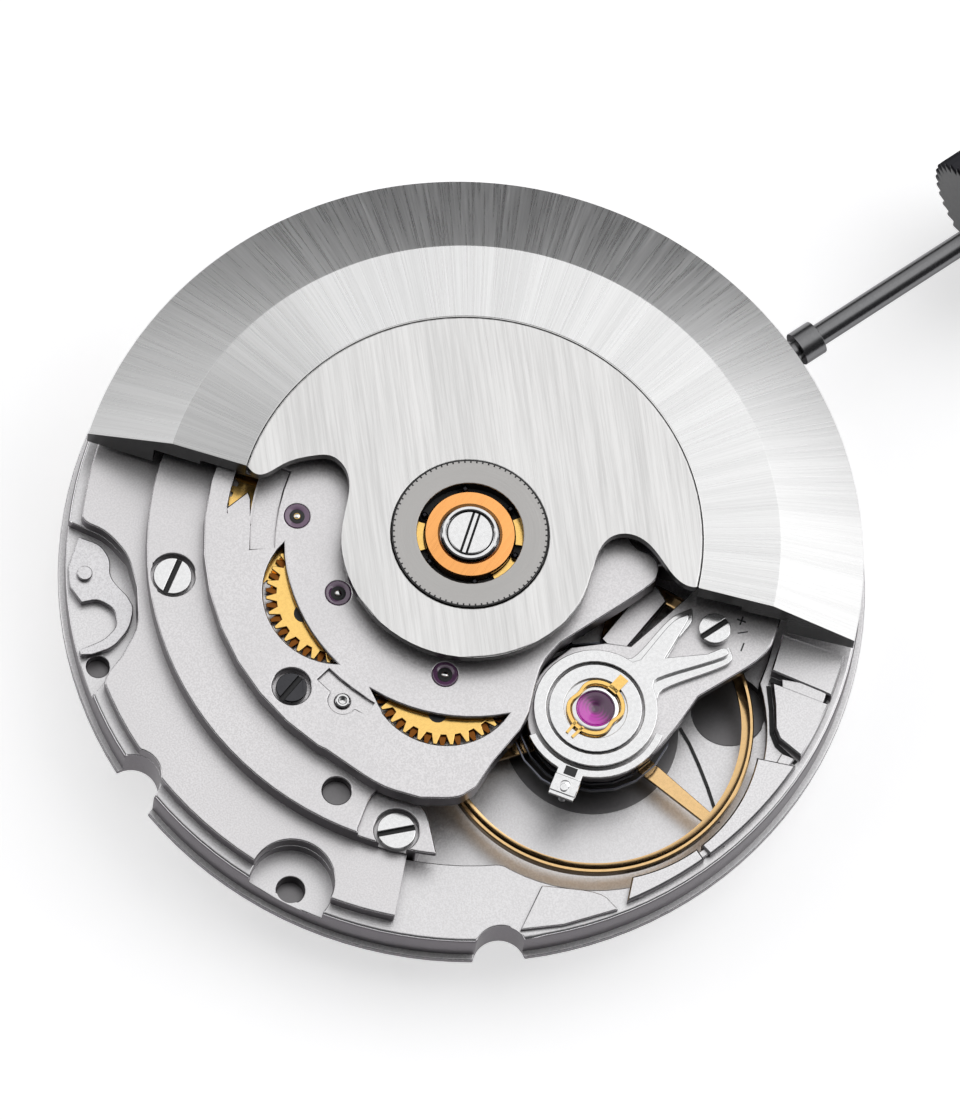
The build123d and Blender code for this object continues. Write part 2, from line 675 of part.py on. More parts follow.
def module_bridge():
    """Returns the upper bridge of the self-winding module with its sight windows."""
    arc = arc_points(module_arc_radius, module_arc_start_deg, module_arc_end_deg, module_arc_steps)
    outline = module_free_edge + arc
    bridge = prism(outline, bridge_top, module_top)
    bridge -= wheel_cavity(0, 0, module_roof)
    bridge -= disc(module_bore_radius, module_roof, post_screw_top)
    inner_face = Circle(window_inner_radius)
    for place in (first_reverser, second_reverser):
        window = Pos(place[0], place[1]) * Circle(window_radius) - inner_face
        bridge -= extrude(Pos(0, 0, module_roof) * window, amount=module_top, dir=(0, 0, 1))
    top = post_screw_top
    bridge -= sector(sight_outer_radius, sight_inner_radius, sight_start_deg, sight_end_deg, 0, top)
    channel = (channel_outer_radius, channel_inner_radius, channel_start_deg, channel_end_deg)
    bridge -= sector(*channel, channel_floor, top)
    groove = (groove_outer_radius, groove_inner_radius, groove_start_deg, groove_end_deg)
    bridge -= sector(*groove, channel_floor, top)
    bridge -= disc(pin_well_radius, channel_floor, post_screw_top, steady_pin_place)
    bridge -= disc(steady_pin_radius, 0, module_top, steady_pin_place)
    for place in module_jewel_places:
        bridge -= disc(jewel_radius, module_jewel_low, post_screw_top, place)
        bridge -= disc(arbor_radius + running_gap, 0, module_jewel_low, place)
    bridge -= disc(pivot_radius + running_gap, 0, module_jewel_low, driver_centre)
    for place in module_screw_places:
        bridge -= disc(module_screw_clear, module_screw_top - screw_head_height, post_screw_top, place)
        bridge -= disc(screw_shank_radius + seat_gap, 0, post_screw_top, place)
    return bridge


def module_lower_bridge():
    """Returns the thin lower bridge of the self-winding wheels, with the post of the weight's bearing."""
    bridge = wheel_cavity(nest_gap, lower_bridge_low, lower_bridge_top)
    bridge -= disc(driver_pinion_radius + clear_gap, 0, post_top, driver_centre)
    for place in module_jewel_places:
        bridge -= disc(pivot_radius + running_gap, 0, post_top, place)
    bridge += disc(post_flange_radius, lower_bridge_top, race_shoulder)
    bridge += disc(post_radius, race_shoulder, post_top)
    return bridge - disc(screw_shank_radius + seat_gap, post_top - shank_reach - seat_gap, post_top)


def balance_cock():
    """Returns the balance cock with its foot."""
    cock = prism(cock_outline, cock_low, bridge_top) + prism(cock_foot_outline, plate_floor, cock_low)
    cock -= disc(cock_bore_radius, cock_low, bridge_top, balance_centre)
    cock -= disc(eccentric_shank_radius + running_gap, cock_low, bridge_top, eccentric_place)
    cock -= screw_seat(bridge_screw_places[4], bridge_screw_tops[4], shank_reach, 0)
    return cock


def pallet_bridge():
    """Returns the small bridge over the pallet fork."""
    bridge = prism(pallet_bridge_outline, pallet_bridge_low, pallet_bridge_top)
    bridge += disc(pallet_foot_radius, plate_floor, pallet_bridge_low, pallet_foot_place)
    bridge -= disc(pivot_radius + running_gap, pallet_bridge_low, pallet_bridge_top, pallet_centre)
    return bridge


# Sizes of the moving parts
drum_radius = 5.05
drum_wall = 0.18
barrel_arbor_radius = 0.7
barrel_square_half = 0.38
ratchet_square_half = 0.4
mainspring_turns = 5
mainspring_steps_per_turn = 14
mainspring_thickness = 0.1
mainspring_low = 1.2
mainspring_high = 1.95
mainspring_start_radius = 0.78
mainspring_end_radius = 4.8
centre_tube_radius = 0.285
centre_tube_bore = 0.16
centre_tube_low = -0.75
centre_tube_high = 1.18
seconds_arbor_radius = 0.13
seconds_shaft_radius = 0.12
seconds_arbor_low = -1.75
seconds_seat_top = -1.27
seconds_taper_top = -0.72
seconds_arbor_high = 2.7
spoke_count = 4
spoke_outer_share = 0.86
spoke_inner_share = 0.34
spoke_gap_deg = 12.0
third_spoke_turn = 20
seconds_spoke_turn = 30
escape_spoke_turn = 10
escape_body_low = 0.7
escape_root_radius = 1.6
escape_heel_deg = 4.0
escape_toe_deg = 7.0
escape_back_deg = 9.0
escape_heel_radius = 1.95
pallet_stone_x = -0.66
pallet_stone_y = 1.0
pallet_stone_size = (0.26, 0.14)
pallet_arbor_top = 1.43
plate_pivot_start = 0.42
roller_radius = 0.95
roller_span = (1.17, 1.27)
impulse_radius = 0.07
impulse_distance = 0.84
impulse_low = 1.02
staff_radius = 0.28
balance_hub_radius = 0.6
balance_arm_low = 1.56
balance_arm_top = 1.7
balance_arm_hub_half = 0.34
balance_arm_rim_half = 0.2
balance_arm_turns = [-76, 44, 164]
staff_pivot_top = 2.92
collet_radius = hairspring_start_radius - hairspring_thickness / 2 - nest_gap / 2
stud_radius = 0.13
stud_distance = 2.88
stud_top = 3.02
holder_inner_radius = 2.08
holder_outer_radius = 2.32
holder_low = 2.78
holder_top = 2.93
holder_start_deg = 168.0
holder_end_deg = 304.0
holder_arm = [(2.1, -0.42), (3.2, -0.42), (3.2, 0.42), (2.1, 0.42)]
shock_radius = 1.5
shock_low = 2.75
shock_top = 3.08
shock_step_radius = 1.02
shock_step = 2.98
shock_bore_radius = 0.64
shock_floor_radius = 0.3
shock_floor = 2.9
cap_jewel_radius = 0.6
cap_jewel_top = 3.06
shock_spring_outer = 0.86
shock_spring_inner = 0.7
shock_spring_low = 3.07
shock_spring_top = 3.14
shock_spring_tab = [(0.75, -0.22), (1.42, -0.22), (1.42, 0.24), (0.75, 0.24)]
shock_spring_leg = [(-0.78, 0.05), (-1.35, 0.1), (-1.35, 0.22), (-0.72, 0.2)]
gear_crest_share = 0.2


def barrel_drum():
    """Returns the toothed barrel drum with its snapped-in cover."""
    turn = barrel_angle_deg + 180.0 + 180.0 / barrel_teeth
    drum = gear(barrel_teeth, barrel_module, turn, *barrel_teeth_span, barrel_centre)
    drum += ring(drum_radius, drum_radius - drum_wall, barrel_teeth_span[1], drum_top, barrel_centre)
    drum += disc(drum_radius, drum_top, barrel_top - nest_gap, barrel_centre)
    return drum - disc(barrel_arbor_radius + running_gap, barrel_teeth_span[0], barrel_top, barrel_centre)


def barrel_arbor():
    """Returns the arbor with its pivots and the square that carries the ratchet wheel."""
    body = disc(barrel_arbor_radius, barrel_teeth_span[0] - nest_gap, barrel_top, barrel_centre)
    body += disc(barrel_pivot_radius, barrel_pivot_low + nest_gap, ratchet_span[0] - seat_gap, barrel_centre)
    side = 2 * barrel_square_half
    place = Pos(barrel_centre[0], barrel_centre[1], ratchet_span[0])
    square = place * Box(side, side, bridge_top - recess_low)
    return body + square


def spiral_strip(start_radius, end_radius, turns, steps_per_turn, thickness, end_deg):
    """Returns the outline of one flat coil whose radius grows evenly with its turn."""
    count = turns * steps_per_turn
    growth = (end_radius - start_radius) / count
    inner = []
    outer = []
    for i in range(count + 1):
        angle = end_deg + 360.0 * (i - count) / steps_per_turn
        inner.append(polar(start_radius + growth * i - thickness / 2, angle))
        outer.append(polar(start_radius + growth * i + thickness / 2, angle))
    pitch = growth * steps_per_turn
    flat_share = math.cos(math.pi / steps_per_turn)
    print("coil: least gap between its turns", round(pitch * flat_share - thickness, 3), "mm")
    return inner + outer[::-1]


def mainspring():
    """Returns the wound mainspring inside the drum."""
    outline = spiral_strip(
        mainspring_start_radius, mainspring_end_radius, mainspring_turns, mainspring_steps_per_turn,
        mainspring_thickness, 0,
    )
    return Pos(barrel_centre[0], barrel_centre[1], 0) * prism(outline, mainspring_low, mainspring_high)


def hairspring():
    """Returns the hairspring as one unbroken flat coil from collet to stud."""
    outline = spiral_strip(
        hairspring_start_radius, hairspring_end_radius, hairspring_turns, hairspring_steps_per_turn,
        hairspring_thickness, hairspring_end_deg,
    )
    return Pos(balance_centre[0], balance_centre[1], 0) * prism(outline, hairspring_low, hairspring_top)


def crossed(wheel, radius, low, high, at, turn_deg):
    """Cuts the openings between a wheel's four spokes."""
    step = 360.0 / spoke_count
    outer = radius * spoke_outer_share
    inner = radius * spoke_inner_share
    for i in range(spoke_count):
        start = turn_deg + step * i + spoke_gap_deg
        end = turn_deg + step * (i + 1) - spoke_gap_deg
        points = arc_points(outer, start, end, 4)
        points += arc_points(inner, end - spoke_gap_deg, start + spoke_gap_deg, 1)
        wheel -= Pos(at[0], at[1], 0) * prism(points, low, high)
    return wheel


def centre_wheel():
    """Returns the hollow centre arbor with its pinion and wheel."""
    drum_turn = barrel_angle_deg + 180.0 + 180.0 / barrel_teeth
    pinion_turn = meshed_turn(drum_turn, barrel_teeth, barrel_angle_deg + 180.0, barrel_pinion_teeth)
    crest = gear_crest_share
    wheel = gear(barrel_pinion_teeth, barrel_module, pinion_turn, *centre_pinion_span, crest_share=crest)
    wheel += gear(centre_teeth, centre_module, third_angle_deg, *centre_wheel_span)
    wheel = crossed(wheel, centre_module * centre_teeth / 2, *centre_wheel_span, (0, 0), 0)
    wheel += disc(centre_tube_radius, centre_tube_low, centre_tube_high)
    wheel -= disc(centre_tube_bore, centre_tube_low, centre_tube_high)
    return wheel


def third_wheel():
    """Returns the third wheel and pinion."""
    pinion_turn = meshed_turn(third_angle_deg, centre_teeth, third_angle_deg, third_pinion_teeth)
    toward = third_angle_deg + 180.0
    place = (third_centre, gear_crest_share)
    wheel = gear(third_pinion_teeth, centre_module, pinion_turn, *third_pinion_span, *place)
    wheel += gear(third_teeth, third_module, toward, *third_wheel_span, third_centre)
    wheel = crossed(wheel, third_module * third_teeth / 2, *third_wheel_span, third_centre, third_spoke_turn)
    body_top = recess_low - nest_gap
    return wheel + arbor(third_centre, third_pinion_span[0], body_top, plate_pivot_start, seconds_arbor_high)


def seconds_wheel():
    """Returns the sweep seconds wheel on its long arbor."""
    toward = third_angle_deg + 180.0
    pinion_turn = meshed_turn(toward, third_teeth, toward, seconds_pinion_teeth)
    crest = gear_crest_share
    wheel = gear(seconds_pinion_teeth, third_module, pinion_turn, *seconds_pinion_span, crest_share=crest)
    wheel += gear(seconds_teeth, seconds_module, escape_angle_deg, *seconds_wheel_span)
    pitch_radius = seconds_module * seconds_teeth / 2
    wheel = crossed(wheel, pitch_radius, *seconds_wheel_span, (0, 0), seconds_spoke_turn)
    body_top = recess_low - nest_gap
    wheel += disc(arbor_radius, seconds_pinion_span[0], body_top)
    wheel += turned([
        (0, seconds_arbor_low),
        (seconds_arbor_radius, seconds_arbor_low), (seconds_arbor_radius, seconds_seat_top),
        (seconds_shaft_radius, seconds_taper_top),
        (seconds_shaft_radius, seconds_pinion_span[0]), (0, seconds_pinion_span[0]),
    ])
    return wheel + disc(pivot_radius, body_top, seconds_arbor_high)


def escape_wheel():
    """Returns the escape wheel and pinion with raked teeth."""
    points = []
    step = 360.0 / escape_teeth
    for i in range(escape_teeth):
        points.append(polar(escape_root_radius, step * i))
        points.append(polar(escape_heel_radius, step * i + escape_heel_deg))
        points.append(polar(escape_radius, step * i + escape_toe_deg))
        points.append(polar(escape_root_radius, step * i + escape_back_deg))
    wheel = Pos(escape_centre[0], escape_centre[1], 0) * prism(points, *escape_wheel_span)
    wheel = crossed(wheel, escape_root_radius, *escape_wheel_span, escape_centre, escape_spoke_turn)
    turn = meshed_turn(escape_angle_deg, seconds_teeth, escape_angle_deg, escape_pinion_teeth)
    place = (escape_centre, gear_crest_share)
    wheel += gear(escape_pinion_teeth, seconds_module, turn, *escape_pinion_span, *place)
    body_top = recess_low - seat_gap
    return wheel + arbor(escape_centre, escape_body_low, body_top, plate_pivot_start, seconds_arbor_high)


def fork_place():
    """Returns the placing of the pallet fork, its X axis pointing to the balance."""
    return Pos(pallet_centre[0], pallet_centre[1], 0) * Rot(0, 0, bearing_deg(pallet_centre, balance_centre))


def pallet_fork():
    """Returns the pallet fork on its arbor."""
    mirrored = [(x, -y) for x, y in fork_half_outline[::-1]]
    lever = fork_place() * prism(fork_half_outline + mirrored, *pallet_span)
    return lever + disc(pivot_radius, plate_pivot_start, pallet_arbor_top, pallet_centre)


def pallet_stones():
    """Returns the two pallet stones."""
    stones = []
    height = escape_wheel_span[1] - pallet_span[1]
    for side in (-1, 1):
        place = fork_place() * Pos(pallet_stone_x, side * pallet_stone_y, pallet_span[1] + height / 2)
        stones.append(place * Box(*pallet_stone_size, height))
    return stones


def balance_wheel():
    """Returns the balance rim, its three arms and hub."""
    wheel = ring(balance_radius, balance_inner_radius, balance_low, balance_top)
    wheel += disc(balance_hub_radius, balance_arm_low, balance_top)
    for turn in balance_arm_turns:
        points = [
            (0, -balance_arm_hub_half), (balance_inner_radius, -balance_arm_rim_half),
            (balance_inner_radius, balance_arm_rim_half), (0, balance_arm_hub_half),
        ]
        wheel += Rot(0, 0, turn) * prism(points, balance_arm_low, balance_arm_top)
    wheel -= disc(staff_radius, balance_arm_low, balance_top)
    return Pos(balance_centre[0], balance_centre[1], 0) * wheel


def balance_staff():
    """Returns the balance staff with its roller, impulse pin and hairspring collet."""
    staff = disc(staff_radius, roller_span[1], hairspring_low, balance_centre)
    staff += disc(roller_radius, *roller_span, balance_centre)
    staff += disc(collet_radius, hairspring_low, hairspring_top, balance_centre)
    pin_place = polar(impulse_distance, bearing_deg(balance_centre, pallet_centre), balance_centre)
    staff += disc(impulse_radius, impulse_low, roller_span[0], pin_place)
    return staff + disc(pivot_radius, plate_pivot_start, staff_pivot_top, balance_centre)


def shock_block():
    """Returns the round block that holds the shock-protected balance jewels."""
    block = disc(shock_radius, shock_low, shock_top, balance_centre)
    block -= disc(shock_step_radius, shock_step, shock_top, balance_centre)
    block -= disc(shock_bore_radius, shock_floor, shock_top, balance_centre)
    return block - disc(shock_floor_radius, shock_low, shock_floor, balance_centre)


def shock_spring():
    """Returns the flat spring that holds the cap jewel down."""
    spring = ring(shock_spring_outer, shock_spring_inner, shock_spring_low, shock_spring_top)
    spring += prism(shock_spring_tab, shock_spring_low, shock_spring_top)
    spring += prism(shock_spring_leg, shock_spring_low, shock_spring_top)
    spring += prism([(x, -y) for x, y in shock_spring_leg], shock_spring_low, shock_spring_top)
    return Pos(balance_centre[0], balance_centre[1], 0) * spring


def regulator_index():
    """Returns the two-step regulator index with its forked tail."""
    index = disc(index_radius, index_low, index_top, balance_centre)
    index += prism(index_low_outline, index_low, index_step)
    index += prism(index_high_outline, index_low, index_top)
    return index - disc(index_inner_radius, index_low, index_top, balance_centre)


def stud_holder():
    """Returns the open ring and arm that hold the hairspring stud."""
    holder = ring(holder_outer_radius, holder_inner_radius, holder_low, holder_top)
    holder &= wedge(2 * holder_outer_radius, holder_start_deg, holder_end_deg, holder_low, holder_top)
    holder += Rot(0, 0, hairspring_end_deg) * prism(holder_arm, holder_low, holder_top)
    stud = Rot(0, 0, hairspring_end_deg) * disc(stud_radius, hairspring_low, stud_top, (stud_distance, 0))
    return Pos(balance_centre[0], balance_centre[1], 0) * (holder + stud)


def eccentric_screw():
    """Returns the slotted eccentric that moves the index."""
    head = disc(eccentric_radius, eccentric_head_low, index_top, eccentric_place)
    shank = disc(eccentric_shank_radius, cock_low, eccentric_head_low, eccentric_place)
    slot = Box(2 * eccentric_radius + screw_slot_width, screw_slot_width, 2 * screw_slot_depth)
    return head + shank - Pos(eccentric_place[0], eccentric_place[1], index_top) * slot


def reverser_upper(at):
    """Returns the free upper disc of a reversing wheel."""
    toward = bearing_deg((0, 0), at)
    turn = meshed_turn(0, weight_gear_teeth, toward, reverser_teeth)
    wheel = gear(reverser_teeth, reverser_module, turn, *upper_reverser_span, at, gear_crest_share)
    return wheel - disc(arbor_radius + running_gap, *upper_reverser_span, at)


def reverser_lower(at, turn_deg, pinion_turn_deg=None):
    """Returns the lower disc of a reversing wheel on its arbor, with a pinion on the first one."""
    wheel = gear(reverser_teeth, reverser_module, turn_deg, *lower_reverser_span, at, gear_crest_share)
    if pinion_turn_deg is not None:
        turn = pinion_turn_deg
        crest = gear_crest_share
        wheel += gear(reverser_pinion_teeth, reverser_pinion_module, turn, *reverser_pinion_span, at, crest)
    body_top = module_jewel_low - seat_gap
    return wheel + arbor(at, reverser_pinion_span[0], body_top, lower_bridge_low + seat_gap, module_pivot_top)


# Sizes of the winding, setting, motion and date work
reverser_reach = math.dist(first_reverser, reduction_centre)
reverser_pinion_module = 2 * reverser_reach / (reverser_pinion_teeth + reduction_teeth)
reduction_pinion_module = 2 * driver_distance / (reduction_pinion_teeth + driver_teeth)
module_pivot_top = 3.48
driver_pivot_low = 2.36
driver_pivot_top = 3.32
winding_pinion_teeth = 14
winding_pinion_module = 0.1
winding_pinion_start = 7.3
winding_pinion_length = 0.9
sliding_pinion_start = 5.95
sliding_pinion_length = 1.2
sliding_pinion_radius = 0.55
sliding_gear_teeth = 10
sliding_gear_module = 0.1
sliding_gear_length = 0.2
groove_start = 0.35
groove_length = 0.3
sliding_groove_radius = 0.45
stem_start = 5.75
stem_shoulder = 13.15
stem_groove_start = 9.1
stem_groove_length = 0.4
stem_groove_radius = 0.2
collar_length = 0.8
outer_stem_radius = 0.375
crown_teeth = 36
crown_module = 2 * crown_radius / (crown_teeth + 1.7)
crown_cap_radius = 2.05
crown_cap_length = 0.35
setting_lever_outline = [(9.05, -3.2), (9.55, -3.2), (9.6, -1.6), (9.42, -0.2), (9.18, -0.2), (9.0, -1.6)]
setting_lever_pivot = (9.3, -2.9)
setting_lever_pin = (9.3, -0.33)
yoke_outline = [(6.75, -3.2), (7.15, -3.2), (7.1, -2.0), (6.6, -0.5), (6.3, -0.5), (6.6, -2.0)]
yoke_pivot = (6.95, -2.95)
yoke_pin = (6.45, -0.56)
lever_span = (1.05, 1.2)
lever_pin_radius = 0.1
lever_pivot_radius = 0.16
setting_pin_top = 1.75
yoke_pin_top = 1.55
cannon_span = (0.27, 0.36)
cannon_bore = centre_tube_radius + running_gap
cannon_radius = 0.595
cannon_seat_radius = 0.44
cannon_seat_bore = 0.2
cannon_seat_top = -0.8
cannon_low = -1.25
hour_bore = cannon_radius + running_gap
hour_radius = 0.75
hour_hub_radius = 1.0
hour_hub_low = 0.05
hour_low = -0.78
hour_span = (0.205, 0.265)
date_gear_span = (0.11, 0.19)
minute_span = (0.29, 0.35)
minute_pinion_span = (0.18, 0.29)
minute_stud_top = 0.5
setting_low_span = (0.29, 0.35)
setting_high_span = (0.78, 0.93)
date_finger_span = (0.19, 0.26)
date_finger_half = 0.3
date_stud_top = 0.39
date_ring_span = (0.11, 0.25)
jumper_outline = [
    (1.56, -2.5), (1.86, -2.2), (1.26, -1.0), (0.46, -0.15),
    (-0.19, 0), (0.11, -0.5), (0.86, -1.2), (1.21, -2.3),
]
jumper_pivot = (1.51 - date_tooth_radius, -2.15)
jumper_span = (0.11, 0.24)
click_distance = 5.25
click_wanted_deg = 154.0
click_outline = [(-0.5, -0.35), (0.4, -0.4), (1.3, -0.12), (1.55, 0), (1.3, 0.1), (0.9, 0.35), (-0.4, 0.4)]
click_well_outline = [(-0.75, -0.65), (0.5, -0.7), (1.7, -0.6), (1.7, 0.6), (0.9, 0.65), (-0.6, 0.7)]
click_span = (2.56, 2.7)
click_stud_low = 2.3
weight_neck = [
    (-4.4, 5.45), (-3.6, 5.33), (-2.62, 5.03), (-2.12, 4.68),
    (-2.0, 4.08), (-2.27, 3.48), (-2.9, 2.85), (-3.5, 2.2),
    (-4.0, 1.2), (-4.2, 0.1), (-4.05, -1.15), (-3.5, -2.35),
    (-2.5, -3.4), (-1.2, -4.05), (0.1, -4.2), (1.45, -3.95),
    (2.45, -3.3), (3.1, -2.78), (3.75, -2.62), (4.32, -2.95), (4.58, -3.6), (4.58, -4.6), (4.72, -5.3),
]
ball_radius = 0.11
ball_circle_radius = 1.595
ball_count = 6
ball_height = 4.25
steady_pin_low = 2.8
weight_neck_radius = 2.2
fastener_span = (1.03, 1.33)
fastener_pivot_radius = 0.25
fastener_pivot_top = 1.5
fastener_pivot_foot = 0.62


def reduction_turns():
    """Returns the rest turn of each wheel from the first reverser to the crown wheel."""
    to_reduction = bearing_deg(first_reverser, reduction_centre)
    to_driver = bearing_deg(reduction_centre, driver_centre)
    to_ratchet = bearing_deg(driver_centre, barrel_centre)
    to_crown_wheel = bearing_deg(barrel_centre, crown_wheel_centre)
    reduction = meshed_turn(to_reduction, reverser_pinion_teeth, to_reduction, reduction_teeth)
    driver = meshed_turn(to_driver, reduction_pinion_teeth, to_driver, driver_teeth)
    ratchet = meshed_turn(to_ratchet, driver_pinion_teeth, to_ratchet, ratchet_teeth)
    crown_wheel = meshed_turn(ratchet, ratchet_teeth, to_crown_wheel, crown_wheel_teeth)
    return to_reduction, reduction, to_driver, driver, to_ratchet, ratchet, crown_wheel


def reduction_wheel():
    """Returns the reduction wheel and its pinion."""
    turns = reduction_turns()
    at = reduction_centre
    wheel = gear(reduction_teeth, reverser_pinion_module, turns[1], *reduction_span, at, gear_crest_share)
    module = reduction_pinion_module
    wheel += gear(reduction_pinion_teeth, module, turns[2], *reduction_pinion_span, at, gear_crest_share)
    body_top = module_jewel_low - seat_gap
    return wheel + arbor(at, reduction_span[0], body_top, lower_bridge_low + seat_gap, module_pivot_top)


def driver_wheel():
    """Returns the wheel that drives the ratchet wheel."""
    turns = reduction_turns()
    wheel = gear(driver_teeth, reduction_pinion_module, turns[3], *driver_span, driver_centre)
    place = (driver_centre, gear_crest_share)
    wheel += gear(driver_pinion_teeth, ratchet_module, turns[4], *driver_pinion_span, *place)
    wheel += disc(arbor_radius, driver_pinion_span[0], module_roof - clear_gap, driver_centre)
    return wheel + disc(pivot_radius, driver_pivot_low, driver_pivot_top, driver_centre)


def ratchet_wheel():
    """Returns the ratchet wheel with its square hole."""
    wheel = gear(ratchet_teeth, ratchet_module, reduction_turns()[5], *ratchet_span, barrel_centre)
    side = 2 * ratchet_square_half
    return wheel - Pos(barrel_centre[0], barrel_centre[1], bridge_top) * Box(side, side, bridge_top)


def crown_wheel():
    """Returns the crown wheel that joins the winding pinion to the ratchet wheel."""
    turn = reduction_turns()[6]
    wheel = gear(crown_wheel_teeth, ratchet_module, turn, *crown_wheel_span, crown_wheel_centre)
    return wheel - disc(crown_wheel_post_radius + running_gap, *crown_wheel_span, crown_wheel_centre)


def winding_pinion():
    """Returns the winding pinion, free on the stem."""
    span = (0, winding_pinion_length)
    pinion = gear(winding_pinion_teeth, winding_pinion_module, 0, *span, crest_share=gear_crest_share)
    pinion -= disc(stem_radius + running_gap, 0, winding_pinion_length)
    return lengthwise(pinion, winding_pinion_start, stem_height)


def sliding_pinion():
    """Returns the sliding pinion with its yoke groove."""
    pinion = disc(sliding_pinion_radius, 0, sliding_pinion_length)
    span = (0, sliding_gear_length)
    pinion += gear(sliding_gear_teeth, sliding_gear_module, 0, *span, crest_share=gear_crest_share)
    groove_end = groove_start + groove_length
    pinion -= ring(2 * sliding_pinion_radius, sliding_groove_radius, groove_start, groove_end)
    pinion -= disc(stem_radius + running_gap, 0, sliding_pinion_length)
    return lengthwise(pinion, sliding_pinion_start, stem_height)


def winding_stem():
    """Returns the stem with its setting groove and outer collar."""
    groove_end = stem_groove_start + stem_groove_length
    stem = lengthwise(disc(stem_radius, 0, stem_groove_start - stem_start), stem_start, stem_height)
    stem += lengthwise(disc(stem_groove_radius, 0, stem_groove_length), stem_groove_start, stem_height)
    stem += lengthwise(disc(stem_radius, 0, stem_shoulder - groove_end), groove_end, stem_height)
    stem += lengthwise(disc(collar_radius, 0, collar_length), stem_shoulder, stem_height)
    neck_start = stem_shoulder + collar_length
    return stem + lengthwise(disc(outer_stem_radius, 0, crown_x - neck_start), neck_start, stem_height)


def crown():
    """Returns the fluted crown."""
    body = gear(crown_teeth, crown_module, 0, 0, crown_length)
    body += disc(crown_cap_radius, crown_length, crown_length + crown_cap_length)
    return lengthwise(body, crown_x, stem_height)


def lever(outline, pivot, pin, pin_top):
    """Returns a flat lever with its pivot stud below and working pin above."""
    body = prism(outline, *lever_span) + disc(lever_pin_radius, lever_span[0], pin_top, pin)
    return body + disc(lever_pivot_radius, pinion_well_floor, lever_span[0], pivot)


def minute_turn():
    """Returns the rest turn of the minute wheel."""
    return meshed_turn(0, cannon_teeth, 0, minute_teeth)


def cannon_pinion():
    """Returns the cannon pinion, whose pipe carries the minute hand."""
    pinion = gear(cannon_teeth, motion_module, 0, *cannon_span, crest_share=gear_crest_share)
    pinion += disc(cannon_radius, cannon_seat_top, cannon_span[0])
    pinion += disc(cannon_seat_radius, cannon_low, cannon_seat_top)
    pinion -= disc(cannon_bore, centre_tube_low - seat_gap, cannon_span[1])
    return pinion - disc(cannon_seat_bore, cannon_low, centre_tube_low)


def hour_wheel():
    """Returns the hour wheel with its pipe and date gear."""
    turn = meshed_turn(180.0, minute_pinion_teeth, 180.0, hour_teeth)
    wheel = gear(hour_teeth, motion_module, turn, *hour_span)
    wheel += gear(date_gear_teeth, date_module, date_idler_angle_deg, *date_gear_span)
    wheel += disc(hour_radius, hour_low, hour_hub_low) + disc(hour_hub_radius, hour_hub_low, hour_span[1])
    return wheel - disc(hour_bore, hour_low, hour_span[1])


def minute_wheel():
    """Returns the minute wheel and pinion."""
    wheel = gear(minute_teeth, motion_module, minute_turn(), *minute_span, minute_centre)
    place = (minute_centre, gear_crest_share)
    wheel += gear(minute_pinion_teeth, motion_module, 180.0, *minute_pinion_span, *place)
    return wheel + disc(pivot_radius, minute_span[1], minute_stud_top, minute_centre)


def setting_wheel():
    """Returns the setting wheel with a gear on each side of the plate."""
    turn = meshed_turn(minute_turn(), minute_teeth, 0, setting_teeth)
    wheel = gear(setting_teeth, motion_module, turn, *setting_low_span, setting_centre)
    wheel += gear(setting_teeth, motion_module, turn, *setting_high_span, setting_centre)
    return wheel + disc(arbor_radius, setting_low_span[1], setting_high_span[0], setting_centre)


def date_turns():
    """Returns the rest turns of the date idler and the date wheel."""
    idler = meshed_turn(date_idler_angle_deg, date_gear_teeth, date_idler_angle_deg, date_idler_teeth)
    toward = bearing_deg(date_idler_centre, date_wheel_centre)
    return idler, meshed_turn(idler, date_idler_teeth, toward, date_wheel_teeth)


def date_idler():
    """Returns the idler between the hour wheel and the date wheel."""
    wheel = gear(date_idler_teeth, date_module, date_turns()[0], *date_gear_span, date_idler_centre)
    return wheel + disc(pivot_radius, date_gear_span[1], date_stud_top, date_idler_centre)


def date_wheel():
    """Returns the one-turn-a-day date wheel with its finger at rest towards the centre."""
    wheel = gear(date_wheel_teeth, date_module, date_turns()[1], *date_gear_span, date_wheel_centre)
    points = [(0, date_finger_half), (0, -date_finger_half), (date_finger_length, 0)]
    turn = Rot(0, 0, bearing_deg(date_wheel_centre, (0, 0)))
    place = Pos(date_wheel_centre[0], date_wheel_centre[1], 0) * turn
    wheel += place * prism(points, *date_finger_span)
    return wheel + disc(pivot_radius, date_gear_span[1], date_stud_top, date_wheel_centre)


def date_ring():
    """Returns the date ring with its inward teeth."""
    step = 360.0 / date_ring_teeth
    points = []
    for i in range(date_ring_teeth):
        points.append(polar(date_tooth_radius, step * i))
        points.append(polar(date_ring_inner_radius, step * (i + 0.5)))
    return disc(date_ring_outer_radius, *date_ring_span) - prism(points, *date_ring_span)


def date_jumper():
    """Returns the jumper whose beak rests between two teeth of the date ring."""
    body = Pos(-date_tooth_radius, 0, 0) * prism(jumper_outline, *jumper_span)
    return body + disc(lever_pivot_radius, jumper_span[1], date_stud_top, jumper_pivot)


def click_pivot():
    """Returns the click's pivot, straight out from a gap between two ratchet teeth."""
    first_gap = reduction_turns()[5] + 180.0 / ratchet_teeth
    steps = round((click_wanted_deg - first_gap) * ratchet_teeth / 360.0)
    return polar(click_distance, first_gap + 360.0 * steps / ratchet_teeth, barrel_centre)


def click_place():
    """Returns the placing of the click, its X axis pointing to the ratchet wheel."""
    at = click_pivot()
    return Pos(at[0], at[1], 0) * Rot(0, 0, bearing_deg(at, barrel_centre))


